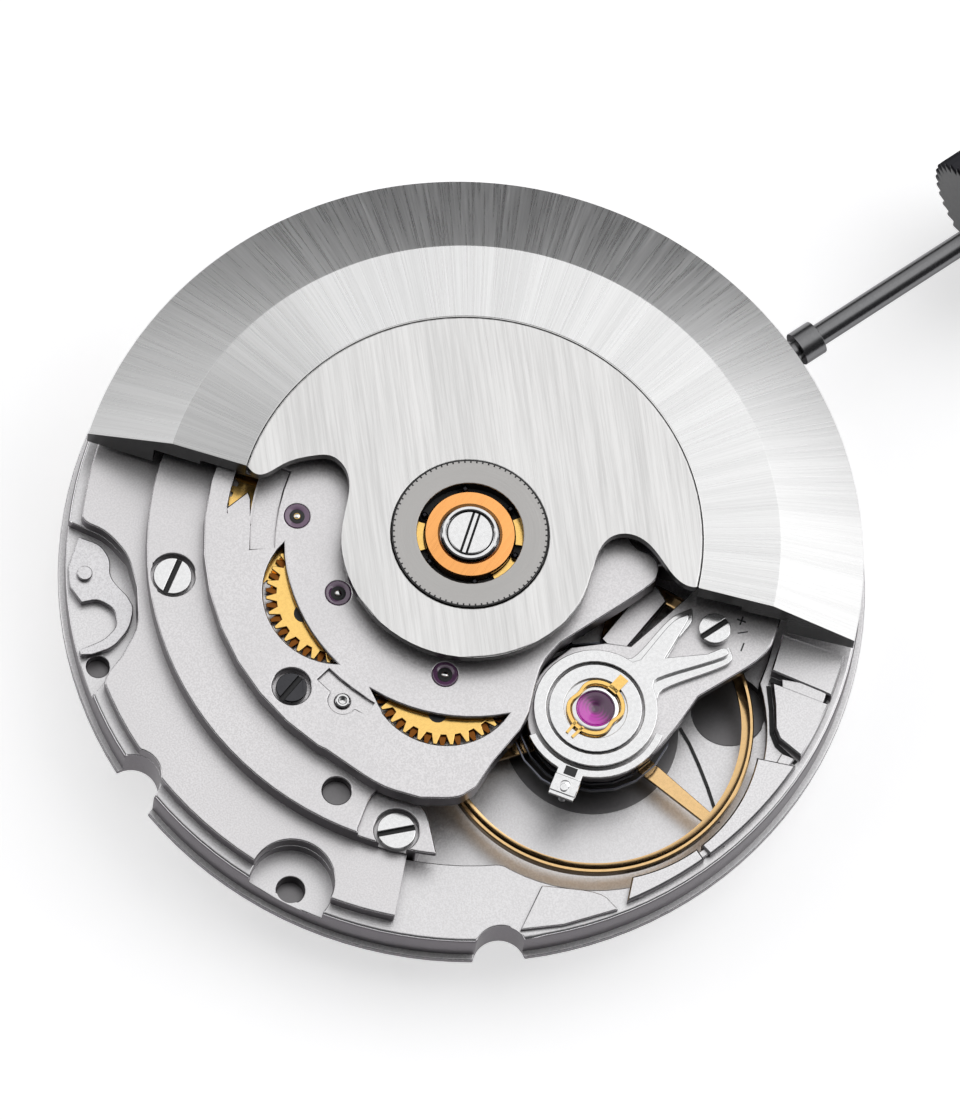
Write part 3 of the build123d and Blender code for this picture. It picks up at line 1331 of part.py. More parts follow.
def click():
    """Returns the click that holds the ratchet wheel."""
    stud = disc(lever_pivot_radius, click_stud_low, click_span[0])
    return click_place() * (prism(click_outline, *click_span) + stud)


def weight_segment():
    """Returns the heavy bevelled segment of the winding weight."""
    profile = [
        (plate_edge_radius, weight_inner_low), (weight_inner_step_radius, weight_inner_low),
        (weight_inner_step_radius, weight_mid_low),
        (weight_step_radius, weight_mid_low), (weight_step_radius, weight_low),
        (weight_radius, weight_low), (weight_radius, weight_edge_top), (bevel_radius, weight_bevel_top),
        (plate_edge_radius, weight_plate_top),
    ]
    return turned(profile) & wedge(weight_radius + 1, weight_start_deg, weight_end_deg, 0, post_screw_top)


def weight_plate():
    """Returns the central plate of the winding weight with its necked outline."""
    start = polar(plate_edge_radius, weight_end_deg)
    end = polar(plate_edge_radius, weight_start_deg)
    grown = plate_edge_radius / drawn_edge_radius
    neck = Spline(start, *[(x * grown, y * grown) for x, y in weight_neck], end)
    rim = CenterArc((0, 0), plate_edge_radius, weight_start_deg, weight_end_deg - weight_start_deg)
    face = make_face([neck, rim])
    height = weight_plate_top - weight_plate_low
    plate = extrude(Pos(0, 0, weight_plate_low) * face, amount=height, dir=(0, 0, 1))
    return plate - disc(weight_ring_radius, weight_plate_low, weight_plate_top)


def weight_bearing():
    """Returns the bearing's outer ring with the gear that drives the reversing wheels."""
    body = disc(weight_ring_radius, race_low, weight_ring_top)
    body += disc(weight_neck_radius, weight_gear_span[0], race_low)
    body += gear(weight_gear_teeth, reverser_module, 0, *weight_gear_span, crest_share=gear_crest_share)
    return body - disc(ball_race_radius, weight_gear_span[0], weight_ring_top)


def ball():
    """Returns one ball, drawn with few faces."""
    side = 2 * ball_radius
    cube = Box(side, side, side)
    return cube & (Rot(45, 0, 0) * cube) & (Rot(0, 45, 0) * cube) & (Rot(0, 0, 45) * cube)


def bearing_balls():
    """Returns the loose balls between the bearing's races."""
    balls = []
    for i in range(ball_count):
        place = polar(ball_circle_radius, 360.0 * i / ball_count)
        balls.append(Pos(place[0], place[1], ball_height) * ball())
    return balls


def dial_fastener(turn_deg):
    """Returns one dial fastener on its pivot stud."""
    body = prism(fastener_outline, *fastener_span)
    body += disc(fastener_pivot_radius, fastener_pivot_foot, fastener_pivot_top, fastener_pivot)
    return Rot(0, 0, turn_deg) * body


def bridge_screws():
    """Returns the six screws of the bridges."""
    places = zip(bridge_screw_places, bridge_screw_tops, bridge_screw_turns)
    return [screw(at, top, turn, shank_reach) for at, top, turn in places]


def module_screws():
    """Returns the two screws of the self-winding module."""
    places = zip(module_screw_places, module_screw_turns)
    sizes = (module_screw_reach, module_screw_head_radius)
    return [screw(at, module_screw_top, turn, *sizes) for at, turn in places]


def bearing_jewels():
    """Returns the pierced jewels of the plate and the bridges, and the balance's cap jewel."""
    jewels = [jewel(at, module_jewel_low) for at in module_jewel_places]
    jewels += [jewel(at, bridge_jewel_low) for at in ((0, 0), third_centre, escape_centre)]
    plate_places = (third_centre, escape_centre, pallet_centre, balance_centre)
    jewels += [jewel(at, plate_jewel_low) for at in plate_places]
    return jewels + [disc(cap_jewel_radius, shock_floor + seat_gap, cap_jewel_top, balance_centre)]


def write_part(name, shape):
    """Writes one node as a STEP file."""
    solids = shape if isinstance(shape, list) else [shape]
    if len(solids) > 1:
        shape = Compound(children=solids)
    export_step(shape, f"parts/{name}.step")
    print(name, round(sum(s.volume for s in solids), 3), "mm3")


def build():
    """Builds every node and writes it."""
    first_turn = bearing_deg(first_reverser, second_reverser)
    second_turn = meshed_turn(first_turn, reverser_teeth, first_turn, reverser_teeth)
    nodes = {
        "main_plate": main_plate(),
        "barrel_bridge": barrel_bridge(),
        "train_bridge": train_bridge(),
        "module_bridge": module_bridge(),
        "module_lower_bridge": module_lower_bridge(),
        "balance_cock": balance_cock(),
        "pallet_bridge": pallet_bridge(),
        "steady_pin": disc(steady_pin_radius, steady_pin_low, module_top + seat_gap, steady_pin_place),
        "bearing_race": ring(race_outer_radius, race_inner_radius, race_low, race_top),
        "shock_block": shock_block(),
        "shock_spring": shock_spring(),
        "post_screw": screw((0, 0), post_screw_top, 33, shank_reach - 2 * seat_gap, post_screw_radius),
        "barrel_drum": barrel_drum(),
        "barrel_arbor": barrel_arbor(),
        "mainspring": mainspring(),
        "centre_wheel": centre_wheel(),
        "third_wheel": third_wheel(),
        "seconds_wheel": seconds_wheel(),
        "escape_wheel": escape_wheel(),
        "pallet_fork": pallet_fork(),
        "pallet_stones": pallet_stones(),
        "balance_wheel": balance_wheel(),
        "balance_staff": balance_staff(),
        "hairspring": hairspring(),
        "regulator_index": regulator_index(),
        "stud_holder": stud_holder(),
        "eccentric_screw": eccentric_screw(),
        "reverser_upper_a": reverser_upper(first_reverser),
        "reverser_upper_b": reverser_upper(second_reverser),
        "reverser_lower_a": reverser_lower(first_reverser, first_turn, reduction_turns()[0]),
        "reverser_lower_b": reverser_lower(second_reverser, second_turn),
        "reduction_wheel": reduction_wheel(),
        "driver_wheel": driver_wheel(),
        "ratchet_wheel": ratchet_wheel(),
        "crown_wheel": crown_wheel(),
        "winding_pinion": winding_pinion(),
        "sliding_pinion": sliding_pinion(),
        "winding_stem": winding_stem(),
        "crown": crown(),
        "setting_lever": lever(
            setting_lever_outline, setting_lever_pivot, setting_lever_pin, setting_pin_top
        ),
        "yoke": lever(yoke_outline, yoke_pivot, yoke_pin, yoke_pin_top),
        "setting_wheel": setting_wheel(),
        "cannon_pinion": cannon_pinion(),
        "hour_wheel": hour_wheel(),
        "minute_wheel": minute_wheel(),
        "date_idler": date_idler(),
        "date_wheel": date_wheel(),
        "date_ring": date_ring(),
        "date_jumper": date_jumper(),
        "click": click(),
        "bearing_balls": bearing_balls(),
        "bearing_jewels": bearing_jewels(),
        "bridge_screws": bridge_screws(),
        "module_screws": module_screws(),
        "dial_fastener_a": dial_fastener(fastener_turns[0]),
        "dial_fastener_b": dial_fastener(fastener_turns[1]),
        "weight_segment": weight_segment(),
        "weight_plate": weight_plate(),
        "weight_bearing": weight_bearing(),
    }
    print(len(nodes), "nodes")
    for name, shape in nodes.items():
        write_part(name, shape)


os.makedirs("parts", exist_ok=True)
build()
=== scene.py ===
import json
import logging
import math
from collections.abc import Callable, Iterable, Sequence
from dataclasses import dataclass
from enum import Enum

import bmesh
import bpy
from mathutils import Matrix, Vector
from mathutils.bvhtree import BVHTree
from mathutils.geometry import intersect_point_line

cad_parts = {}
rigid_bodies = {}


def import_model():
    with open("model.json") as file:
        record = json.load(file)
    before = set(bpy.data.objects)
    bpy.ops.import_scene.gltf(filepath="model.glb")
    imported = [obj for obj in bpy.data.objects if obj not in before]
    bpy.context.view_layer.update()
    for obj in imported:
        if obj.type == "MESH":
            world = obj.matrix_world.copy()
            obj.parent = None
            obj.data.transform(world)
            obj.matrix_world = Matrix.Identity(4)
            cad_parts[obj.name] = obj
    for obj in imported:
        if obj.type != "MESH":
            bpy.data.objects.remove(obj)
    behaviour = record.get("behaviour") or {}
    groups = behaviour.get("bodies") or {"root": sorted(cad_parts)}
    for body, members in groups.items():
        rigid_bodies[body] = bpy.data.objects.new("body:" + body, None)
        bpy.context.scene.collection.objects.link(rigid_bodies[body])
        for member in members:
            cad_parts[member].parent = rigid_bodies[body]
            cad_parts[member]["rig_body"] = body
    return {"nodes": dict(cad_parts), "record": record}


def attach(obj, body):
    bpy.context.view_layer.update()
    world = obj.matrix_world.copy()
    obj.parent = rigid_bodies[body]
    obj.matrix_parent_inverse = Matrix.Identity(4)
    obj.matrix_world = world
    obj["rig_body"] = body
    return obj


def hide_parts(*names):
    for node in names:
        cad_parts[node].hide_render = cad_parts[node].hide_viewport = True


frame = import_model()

Mesh = bmesh.types.BMesh
Edge = bmesh.types.BMEdge
Face = bmesh.types.BMFace
Material = bpy.types.Material
Point = tuple[float, float]
Points = Sequence[Point]
Triple = tuple[float, float, float]
Band = tuple[float, float, float, float]

MM = 0.001
BASE = "plate_and_bridges"
ORIGIN = (0.0, 0.0)
BALANCE_AT = (0.24, -6.74)
MIX_SHARE, MIX_FIRST, MIX_SECOND, MIX_RESULT = 0, 6, 7, 2
MERGE_DISTANCE = 0.0000005
WELD_DISTANCE = 0.0000001
LEVEL_SLACK_MM = 0.001
FLAT_DEG = 0.6
SLIVER_MM = 0.004
SPECK_AREA = 1e-10
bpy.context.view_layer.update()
log = logging.getLogger("movement")


# Shader maths


def operator(operation: str, swapped: bool = False) -> Callable[["Sock", object], "Sock"]:
    """Returns a method that combines a socket and another value in one Math node."""
    def combined(sock: "Sock", other: object) -> "Sock":
        """Returns the node's result."""
        return sock.maths(operation, other, sock) if swapped else sock.maths(operation, sock, other)

    return combined


class Sock:
    """A node output that Python's operators combine with numbers and other outputs."""

    __add__ = __radd__ = operator("ADD")
    __mul__ = __rmul__ = operator("MULTIPLY")
    __sub__ = operator("SUBTRACT")
    __rsub__ = operator("SUBTRACT", swapped=True)
    __truediv__ = operator("DIVIDE")

    def __init__(self, bench: "Bench", source: object) -> None:
        """Wraps one node output, on whose bench new nodes are made."""
        self.bench = bench
        self.source = source

    def maths(self, operation: str, *values: object) -> "Sock":
        """Returns the result of one Math node."""
        return self.bench.node("ShaderNodeMath", {"operation": operation}, dict(enumerate(values)))

    def __abs__(self) -> "Sock":
        """Returns the size of the value."""
        return self.maths("ABSOLUTE", self)

    def power(self, exponent: float) -> "Sock":
        """Returns the value raised to a power."""
        return self.maths("POWER", self, exponent)

    def sine(self) -> "Sock":
        """Returns the sine of the value."""
        return self.maths("SINE", self)

    def ramp(self, low: float, high: float) -> "Sock":
        """Returns a smooth step from 0 at low to 1 at high."""
        inputs = {"Value": self, "From Min": low, "From Max": high}
        return self.bench.node("ShaderNodeMapRange", {"interpolation_type": "SMOOTHSTEP"}, inputs)


class Bench:
    """Builds the nodes of one material, or of the studio's world."""

    def __init__(self, name: str, world: bpy.types.World | None = None) -> None:
        """Starts a material with only its output node.

        Args:
            name: The material's name.
            world: The world whose nodes are built instead, if any.
        """
        self.material = world or bpy.data.materials.new(name)
        self.material.use_nodes = True
        self.tree = self.material.node_tree
        self.tree.nodes.clear()
        self.end = self.tree.nodes.new("ShaderNodeOutputWorld" if world else "ShaderNodeOutputMaterial")

    def node(self, kind: str, settings: dict[str, object], inputs: dict[object, object],
             output: object = 0) -> Sock:
        """Makes one node.

        Args:
            kind: The node type's name.
            settings: Attributes that are set first.
            inputs: Values or links by socket name or index.
            output: The name or index of the output that is returned.

        Returns:
            The wrapped output.
        """
        made = self.tree.nodes.new(kind)
        for key, value in settings.items():
            setattr(made, key, value)
        for key, value in inputs.items():
            self.feed(made.inputs[key], value)
        return Sock(self, made.outputs[output])

    def feed(self, socket: bpy.types.NodeSocket, value: object) -> None:
        """Links or sets one input socket."""
        if isinstance(value, Sock):
            self.tree.links.new(value.source, socket)
        else:
            socket.default_value = value

    def place(self) -> Sock:
        """Returns the object coordinates."""
        return self.node("ShaderNodeTexCoord", {}, {}, "Object")

    def parts(self, vector: Sock) -> tuple[Sock, Sock, Sock]:
        """Returns the three parts of a vector."""
        made = self.tree.nodes.new("ShaderNodeSeparateXYZ")
        self.feed(made.inputs[0], vector)
        return Sock(self, made.outputs[0]), Sock(self, made.outputs[1]), Sock(self, made.outputs[2])

    def joined(self, x: object, y: object, z: object) -> Sock:
        """Returns a vector made of three numbers."""
        return self.node("ShaderNodeCombineXYZ", {}, {0: x, 1: y, 2: z})

    def noise(self, vector: Sock, scale: float, detail: float = 2.0, rough: float = 0.5) -> Sock:
        """Returns a noise value around 0.5."""
        inputs = {"Vector": vector, "Scale": scale, "Detail": detail, "Roughness": rough}
        return self.node("ShaderNodeTexNoise", {"noise_dimensions": "3D"}, inputs, 0)

    def blend(self, share: object, first: object, second: object) -> Sock:
        """Returns a colour between two colours."""
        inputs = {MIX_SHARE: share, MIX_FIRST: first, MIX_SECOND: second}
        return self.node("ShaderNodeMix", {"data_type": "RGBA"}, inputs, MIX_RESULT)

    def tilt(self) -> Sock:
        """Returns how far a face leans from lying flat, from 0 to 1."""
        normal = self.node("ShaderNodeTexCoord", {}, {}, "Normal")
        return 1 - abs(self.parts(normal)[2])

    def surface(self, colour: object, rough: object, metal: float, height: Sock | None = None,
                depth: float = 0.0, fixed: dict[str, object] | None = None, glow: object = None) -> Material:
        """Closes the material with its shader.

        Args:
            colour: Colour value or link.
            rough: Roughness value or link.
            metal: Metallic value.
            height: Bump height, if any.
            depth: Bump distance in metres.
            fixed: Constant values set on the shader's own sockets.
            glow: Emission colour or link, if any.

        Returns:
            The finished material.
        """
        shader = self.tree.nodes.new("ShaderNodeBsdfPrincipled")
        self.feed(shader.inputs["Base Color"], colour)
        self.feed(shader.inputs["Roughness"], rough)
        for key, value in {"Metallic": metal, **(fixed or {})}.items():
            shader.inputs[key].default_value = value
        if glow is not None:
            self.feed(shader.inputs["Emission Color"], glow)
        if height is not None:
            bump = self.node("ShaderNodeBump", {}, {"Height": height, "Distance": depth, "Strength": 1.0})
            self.feed(shader.inputs["Normal"], bump)
        self.tree.links.new(shader.outputs[0], self.end.inputs[0])
        return self.material


def toward(x: Sock, y: Sock, turn_deg: float) -> Sock:
    """Returns how far a place in the plan lies in a direction."""
    turn = math.radians(turn_deg)
    return x * math.cos(turn) + y * math.sin(turn)


def radius_of(x: Sock, y: Sock) -> Sock:
    """Returns how far a place in the plan lies from the middle."""
    return (x * x + y * y).power(0.5)


def rgba(colour: Sequence[float], lift: float = 1.0) -> tuple[float, float, float, float]:
    """Returns a colour with full alpha, lifted by a factor."""
    return (min(colour[0] * lift, 1.0), min(colour[1] * lift, 1.0), min(colour[2] * lift, 1.0), 1.0)


@dataclass(frozen=True)
class BlastedMetal:
    """Fine blasted plated metal with polished bevels that carry a painted highlight, and painted shade on its
    walls.
    """

    name: str
    colour: Triple
    rough: float = 0.42
    painted_edge_highlight: float = 1.2
    edge_rough: float = 0.16
    edge_lean: Point = (0.04, 0.2)
    painted_wall_shade: float = 0.19
    wall_shade_green: float = 0.93
    shaded_wall_lean: Point = (0.4, 0.75)
    grain_per_m: float = 17000.0
    grain_depth: float = 0.000004
    grain_dark: float = 0.86
    grain_ramp: Point = (0.4, 0.62)
    grain_rough: float = 0.2
    cloud_per_m: float = 260.0
    cloud_ramp: Point = (0.3, 0.7)
    cloud_lifts: Point = (0.96, 1.03)

    def material(self) -> Material:
        """Returns the material."""
        bench = Bench(self.name)
        place = bench.place()
        grain = bench.noise(place, self.grain_per_m, 3.0, 0.6)
        cloud = bench.noise(place, self.cloud_per_m)
        lean = bench.tilt()
        # Painted shade darkens the steep walls; a painted highlight brightens the bevels.
        shaded_wall = lean.ramp(*self.shaded_wall_lean)
        edge = lean.ramp(*self.edge_lean) * (1 - shaded_wall)
        dull, bright = (rgba(self.colour, lift) for lift in self.cloud_lifts)
        face = bench.blend(cloud.ramp(*self.cloud_ramp), dull, bright)
        face = bench.blend(grain.ramp(*self.grain_ramp), rgba(self.colour, self.grain_dark), face)
        colour = bench.blend(edge, face, rgba(self.colour, self.painted_edge_highlight))
        red, green, blue, _ = rgba(self.colour, self.painted_wall_shade)
        colour = bench.blend(shaded_wall, colour, (red, green * self.wall_shade_green, blue, 1.0))
        rough = (self.rough + (grain - 0.5) * self.grain_rough) * (1 - edge) + self.edge_rough * edge
        return bench.surface(colour, rough, 1.0, grain * (1 - edge), self.grain_depth)


class Brush(Enum):
    """The way a brushed finish runs: how fast it changes across and along its streaks."""

    RADIAL = (70.0, 150.0)
    CIRCULAR = (16000.0, 1.6)
    STRAIGHT = (9000.0, 260.0)


@dataclass(frozen=True)
class BrushedMetal:
    """Brushed metal with streaks that run one way, a painted highlight on its bevels, painted shade on its
    walls, and painted shade on one side of its sloped faces if it has one.
    """

    name: str
    colour: Triple
    brush: Brush
    rough: float = 0.3
    turn_deg: float = 0.0
    streaks: float = 1.0
    streak_share: float = 0.16
    streak_ramp: Point = (0.32, 0.68)
    streak_rough: float = 0.3
    broad_scale: float = 0.16
    broad_share: float = 0.3
    upright_per_m: float = 500.0
    depth: float = 0.000004
    painted_edge_highlight: float = 1.15
    edge_rough: float = 0.15
    edge_lean: Point = (0.16, 0.24)
    painted_wall_shade: float = 0.15
    shaded_wall_lean: Point = (0.7, 0.9)
    painted_shade_deg: float = 0.0
    painted_shade_share: float = 0.0
    painted_shade_ramp: Point = (0.5, 1.0)
    painted_shade_lean: Point = (0.01, 0.05)

    def along(self, bench: Bench) -> Sock:
        """Returns streak coordinates that change fast across the brushing and slowly along it."""
        x, y, z = bench.parts(bench.place())
        if self.brush is Brush.STRAIGHT:
            across, along = toward(x, y, self.turn_deg + 90), toward(x, y, self.turn_deg)
        else:
            across = radius_of(x, y)
            along = bench.node("ShaderNodeMath", {"operation": "ARCTAN2"}, {0: y, 1: x})
        if self.brush is Brush.RADIAL:
            across, along = along, across
        fine, coarse = self.brush.value
        return bench.joined(across * fine * self.streaks, along * coarse, z * self.upright_per_m)

    def painted_side_shade(self, bench: Bench, lean: Sock) -> Sock:
        """Returns how much painted shade darkens a sloped face on one side, standing in for the brushing's
        dim reflection there.
        """
        x, y, _ = bench.parts(bench.place())
        reach = toward(x, y, self.painted_shade_deg) / radius_of(x, y)
        return reach.ramp(*self.painted_shade_ramp) * (1 - lean.ramp(*self.painted_shade_lean)) * self.painted_shade_share

    def material(self) -> Material:
        """Returns the material."""
        bench = Bench(self.name)
        way = self.along(bench)
        streak = bench.noise(way, 1.0, 4.0, 0.65)
        broad = bench.noise(way, self.broad_scale)
        lean = bench.tilt()
        # Painted shade darkens the steep walls; a painted highlight brightens the bevels.
        shaded_wall = lean.ramp(*self.shaded_wall_lean)
        edge = lean.ramp(*self.edge_lean) * (1 - shaded_wall)
        low = rgba(self.colour, 1 - self.streak_share)
        high = rgba(self.colour, 1 + self.streak_share)
        mixed = streak * (1 - self.broad_share) + broad * self.broad_share
        face = bench.blend(mixed.ramp(*self.streak_ramp), low, high)
        # Painted shade on one side of the sloped faces, for the brushing's dim reflection.
        if self.painted_shade_share:
            face = bench.blend(self.painted_side_shade(bench, lean), face, (0.0, 0.0, 0.0, 1.0))
        colour = bench.blend(edge, face, rgba(self.colour, self.painted_edge_highlight))
        colour = bench.blend(shaded_wall, colour, rgba(self.colour, self.painted_wall_shade))
        rough = (self.rough + (streak - 0.5) * self.streak_rough) * (1 - edge) + self.edge_rough * edge
        return bench.surface(colour, rough, 1.0, streak, self.depth)


@dataclass(frozen=True)
class PolishedMetal:
    """Polished or satin metal with a faint variation and painted shade on its walls."""

    name: str
    colour: Triple
    rough: float = 0.18
    grain_per_m: float = 9000.0
    grain_ramp: Point = (0.35, 0.65)
    grain_lifts: Point = (0.97, 1.03)
    grain_rough: float = 0.08
    depth: float = 0.0000003
    painted_wall_shade: float = 0.3
    shaded_wall_lean: Point = (0.6, 0.95)

    def material(self) -> Material:
        """Returns the material."""
        bench = Bench(self.name)
        grain = bench.noise(bench.place(), self.grain_per_m, 3.0)
        dull, bright = (rgba(self.colour, lift) for lift in self.grain_lifts)
        colour = bench.blend(grain.ramp(*self.grain_ramp), dull, bright)
        # Painted shade darkens the steep walls.
        colour = bench.blend(bench.tilt().ramp(*self.shaded_wall_lean), colour, rgba(self.colour, self.painted_wall_shade))
        return bench.surface(colour, self.rough + (grain - 0.5) * self.grain_rough, 1.0, grain, self.depth)


@dataclass(frozen=True)
class Ruby:
    """Synthetic ruby, glossy with a deep body colour."""

    name: str
    colour: Triple
    rough: float = 0.06
    grain_per_m: float = 3000.0
    grain_lifts: Point = (0.8, 1.25)
    grain_rough: float = 0.05

    def material(self) -> Material:
        """Returns the material."""
        bench = Bench(self.name)
        grain = bench.noise(bench.place(), self.grain_per_m)
        colour = bench.blend(grain, *(rgba(self.colour, lift) for lift in self.grain_lifts))
        fixed = {"Coat Weight": 0.6, "Coat Roughness": 0.03, "IOR": 1.76}
        return bench.surface(colour, self.rough + grain * self.grain_rough, 0.0, fixed=fixed)


@dataclass(frozen=True)
class CapRuby:
    """The balance's cap jewel, with a painted highlight on one side, painted shade at the middle and painted
    ring highlights.
    """

    name: str
    bright: Triple
    deep: Triple
    centre_mm: Point
    highlight_deg: float = 190.0
    radius_mm: float = 0.6
    rough: float = 0.1
    ring_count: float = 34.0
    ring_highlight_share: float = 0.12
    ring_rough: float = 0.2
    highlight_ramp: Point = (-0.35, 0.6)
    middle_shade_ramp: Point = (0.12, 0.4)

    def material(self) -> Material:
        """Returns the material."""
        bench = Bench(self.name)
        x, y, _ = bench.parts(bench.place())
        x = x - self.centre_mm[0] * MM
        y = y - self.centre_mm[1] * MM
        # Painted highlight on one side, painted shade at the middle, painted highlights in rings.
        side = toward(x, y, self.highlight_deg) / (self.radius_mm * MM)
        radius = radius_of(x, y) / (self.radius_mm * MM)
        rings = (radius * self.ring_count).sine() * self.ring_highlight_share
        share = (side + rings).ramp(*self.highlight_ramp) * radius.ramp(*self.middle_shade_ramp)
        colour = bench.blend(share, rgba(self.deep), rgba(self.bright))
        fixed = {"Coat Weight": 0.4, "Coat Roughness": 0.05, "IOR": 1.76}
        return bench.surface(colour, self.rough + rings * self.ring_rough, 0.0, fixed=fixed)


@dataclass(frozen=True)
class Lacquer:
    """Matt lacquer."""

    name: str
    colour: Triple
    rough: float = 0.5
    grain_per_m: float = 12000.0
    grain_lifts: Point = (0.96, 1.03)
    grain_rough: float = 0.1
    depth: float = 0.000002

    def material(self) -> Material:
        """Returns the material."""
        bench = Bench(self.name)
        grain = bench.noise(bench.place(), self.grain_per_m, 3.0)
        colour = bench.blend(grain, *(rgba(self.colour, lift) for lift in self.grain_lifts))
        return bench.surface(colour, self.rough + grain * self.grain_rough, 0.0, grain, self.depth)


class Metals:
    """All finishes of the movement, each made once."""

    def __init__(self) -> None:
        """Makes every material."""
        straight = Brush.STRAIGHT
        self.plate = BlastedMetal("plate_blasted", (0.8, 0.79, 0.8), 0.38).material()
        self.bridge = BlastedMetal("bridge_blasted", (0.76, 0.745, 0.755), 0.36).material()
        # The weight's bevel takes painted shade on one side, for the radial brushing's dim reflection.
        self.weight_segment = BrushedMetal(
            "weight_radial", (0.7, 0.7, 0.7), Brush.RADIAL, 0.3, streaks=2.3, streak_share=0.1, painted_shade_deg=142.0,
            painted_shade_share=0.32).material()
        self.weight_plate = BrushedMetal(
            "weight_straight", (0.71, 0.705, 0.7), straight, 0.34, turn_deg=62.0,
            streak_share=0.13).material()
        self.ring_satin = BrushedMetal(
            "bearing_ring_satin", (0.46, 0.45, 0.44), Brush.CIRCULAR, 0.4, streak_share=0.03).material()
        self.copper = BrushedMetal(
            "race_copper", (0.95, 0.43, 0.14), straight, 0.3, turn_deg=20.0, streak_share=0.08).material()
        self.steel = PolishedMetal("polished_steel", (0.86, 0.86, 0.865), 0.13).material()
        self.lever = BlastedMetal("lever_satin", (0.73, 0.72, 0.735), 0.3, painted_edge_highlight=1.15).material()
        self.black = PolishedMetal("blackened_steel", (0.06, 0.06, 0.065), 0.2).material()
        self.dark = PolishedMetal("crown_dark", (0.03, 0.03, 0.034), 0.35).material()
        self.stem = PolishedMetal("stem_steel", (0.2, 0.2, 0.205), 0.24).material()
        self.gold = PolishedMetal("wheel_gold", (0.97, 0.63, 0.2), 0.2).material()
        # The lower reversing wheels' gold is darkened as painted shade under the upper wheels.
        self.shaded_gold = PolishedMetal("lower_wheel_shaded_gold", (0.2, 0.07, 0.014), 0.3).material()
        self.balance = PolishedMetal("balance_gold", (0.84, 0.56, 0.27), 0.16).material()
        self.brass = PolishedMetal("train_brass", (0.72, 0.52, 0.24), 0.26).material()
        self.spring = PolishedMetal("spring_alloy", (0.13, 0.135, 0.16), 0.25).material()
        self.ruby = Ruby("ruby", (0.17, 0.075, 0.17)).material()
        self.cap_ruby = CapRuby("cap_ruby", (0.78, 0.01, 0.62), (0.09, 0.004, 0.08), BALANCE_AT).material()
        self.stone = Ruby("pallet_ruby", (0.4, 0.01, 0.2)).material()
        # Dark lacquer for real marks, and for painted shade in slots, gaps, holes, openings and along steps.
        self.mark = Lacquer("marks_and_painted_shade", (0.03, 0.03, 0.032)).material()
        # Dark grey painted shade for the floors of blind holes and of the recess under the hairspring.
        self.shaded_hole = PolishedMetal("hole_shade_grey", (0.2, 0.195, 0.2), 0.38).material()
        self.white = Lacquer("date_lacquer", (0.86, 0.86, 0.84)).material()


# Mesh helpers


def linked(name: str, data: object) -> bpy.types.Object:
    """Returns a new object that is linked to the scene."""
    made = bpy.data.objects.new(name, data)
    bpy.context.scene.collection.objects.link(made)
    return made


def mesh_of(bm: Mesh, name: str) -> bpy.types.Mesh:
    """Returns a mesh made from a bmesh, which is freed."""
    mesh = bpy.data.meshes.new(name)
    bm.to_mesh(mesh)
    bm.free()
    return mesh


def settled(bm: Mesh, name: str, body: str, slot: str, material: Material, crease_deg: float = 40.0,
            normals: Sequence[Vector] | None = None) -> bpy.types.Object:
    """Turns a bmesh into a finished piece that rides on a body.

    Args:
        bm: The mesh, in metres and in place. It is freed.
        name: The piece's name.
        body: The CAD body it rides on.
        slot: The record's material slot; not used.
        material: Its material.
        crease_deg: Edges sharper than this stay crisp.
        normals: The normal of each corner, or none for smooth ones between the crisp edges.

    Returns:
        The new object.
    """
    mesh = mesh_of(bm, name)
    mesh.shade_smooth()
    mesh.set_sharp_from_angle(angle=math.radians(crease_deg))
    mesh.materials.append(material)
    piece = linked(name, mesh)
    if normals is not None:
        mesh.normals_split_custom_set(normals)
    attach(piece, body)
    log.info("built %s", name)
    return piece


def slot_of_node(node: str) -> str:
    """Returns the record's material slot of a node."""
    for entry in frame["record"]["subparts"]:
        if entry["node"] == node:
            return entry["material_slot"]
    raise KeyError(node)


def stand_in(bm: Mesh, name: str, node: str, material: Material, **shading: object) -> None:
    """Shows a bmesh in place of a CAD node, on its body, with settled's shading."""
    piece = settled(bm, name, frame["nodes"][node]["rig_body"], slot_of_node(node), material, **shading)
    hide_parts(node)


def painted(material: Material, *nodes: str) -> None:
    """Gives the CAD nodes that stay in view their material."""
    for node in nodes:
        mesh = frame["nodes"][node].data
        mesh.materials.clear()
        mesh.materials.append(material)
        log.info("painted %s", node)


def convex_edges(bm: Mesh, least_deg: float = 50.0) -> list[Edge]:
    """Returns the convex edges of a closed mesh that turn at least this far."""
    least = math.radians(least_deg)
    return [e for e in bm.edges if len(e.link_faces) == 2 and e.is_convex and e.calc_face_angle(0) > least]


def bevel(bm: Mesh, edges: Sequence[Edge], width: float, segments: int, kind: str = "OFFSET") -> list[Face]:
    """Returns the new faces of a round bevel, whose width is in metres or, for PERCENT, a share."""
    made = bmesh.ops.bevel(bm, geom=edges, offset=width, offset_type=kind, affect="EDGES", segments=segments,
                           profile=0.5, clamp_overlap=False, material=-1)
    return made["faces"]


def chamfer(bm: Mesh, width: float, edges: Sequence[Edge] | None = None, segments: int = 1) -> set[int]:
    """Bevels edges of a closed mesh.

    Args:
        bm: The mesh.
        width: Bevel width in metres.
        edges: The edges, or none for all that are convex and sharp.
        segments: Number of bevel steps.

    Returns:
        The indices of the new faces.
    """
    made = bevel(bm, convex_edges(bm) if edges is None else edges, width, segments)
    bm.faces.index_update()
    bm.normal_update()
    return {face.index for face in made if face.is_valid}


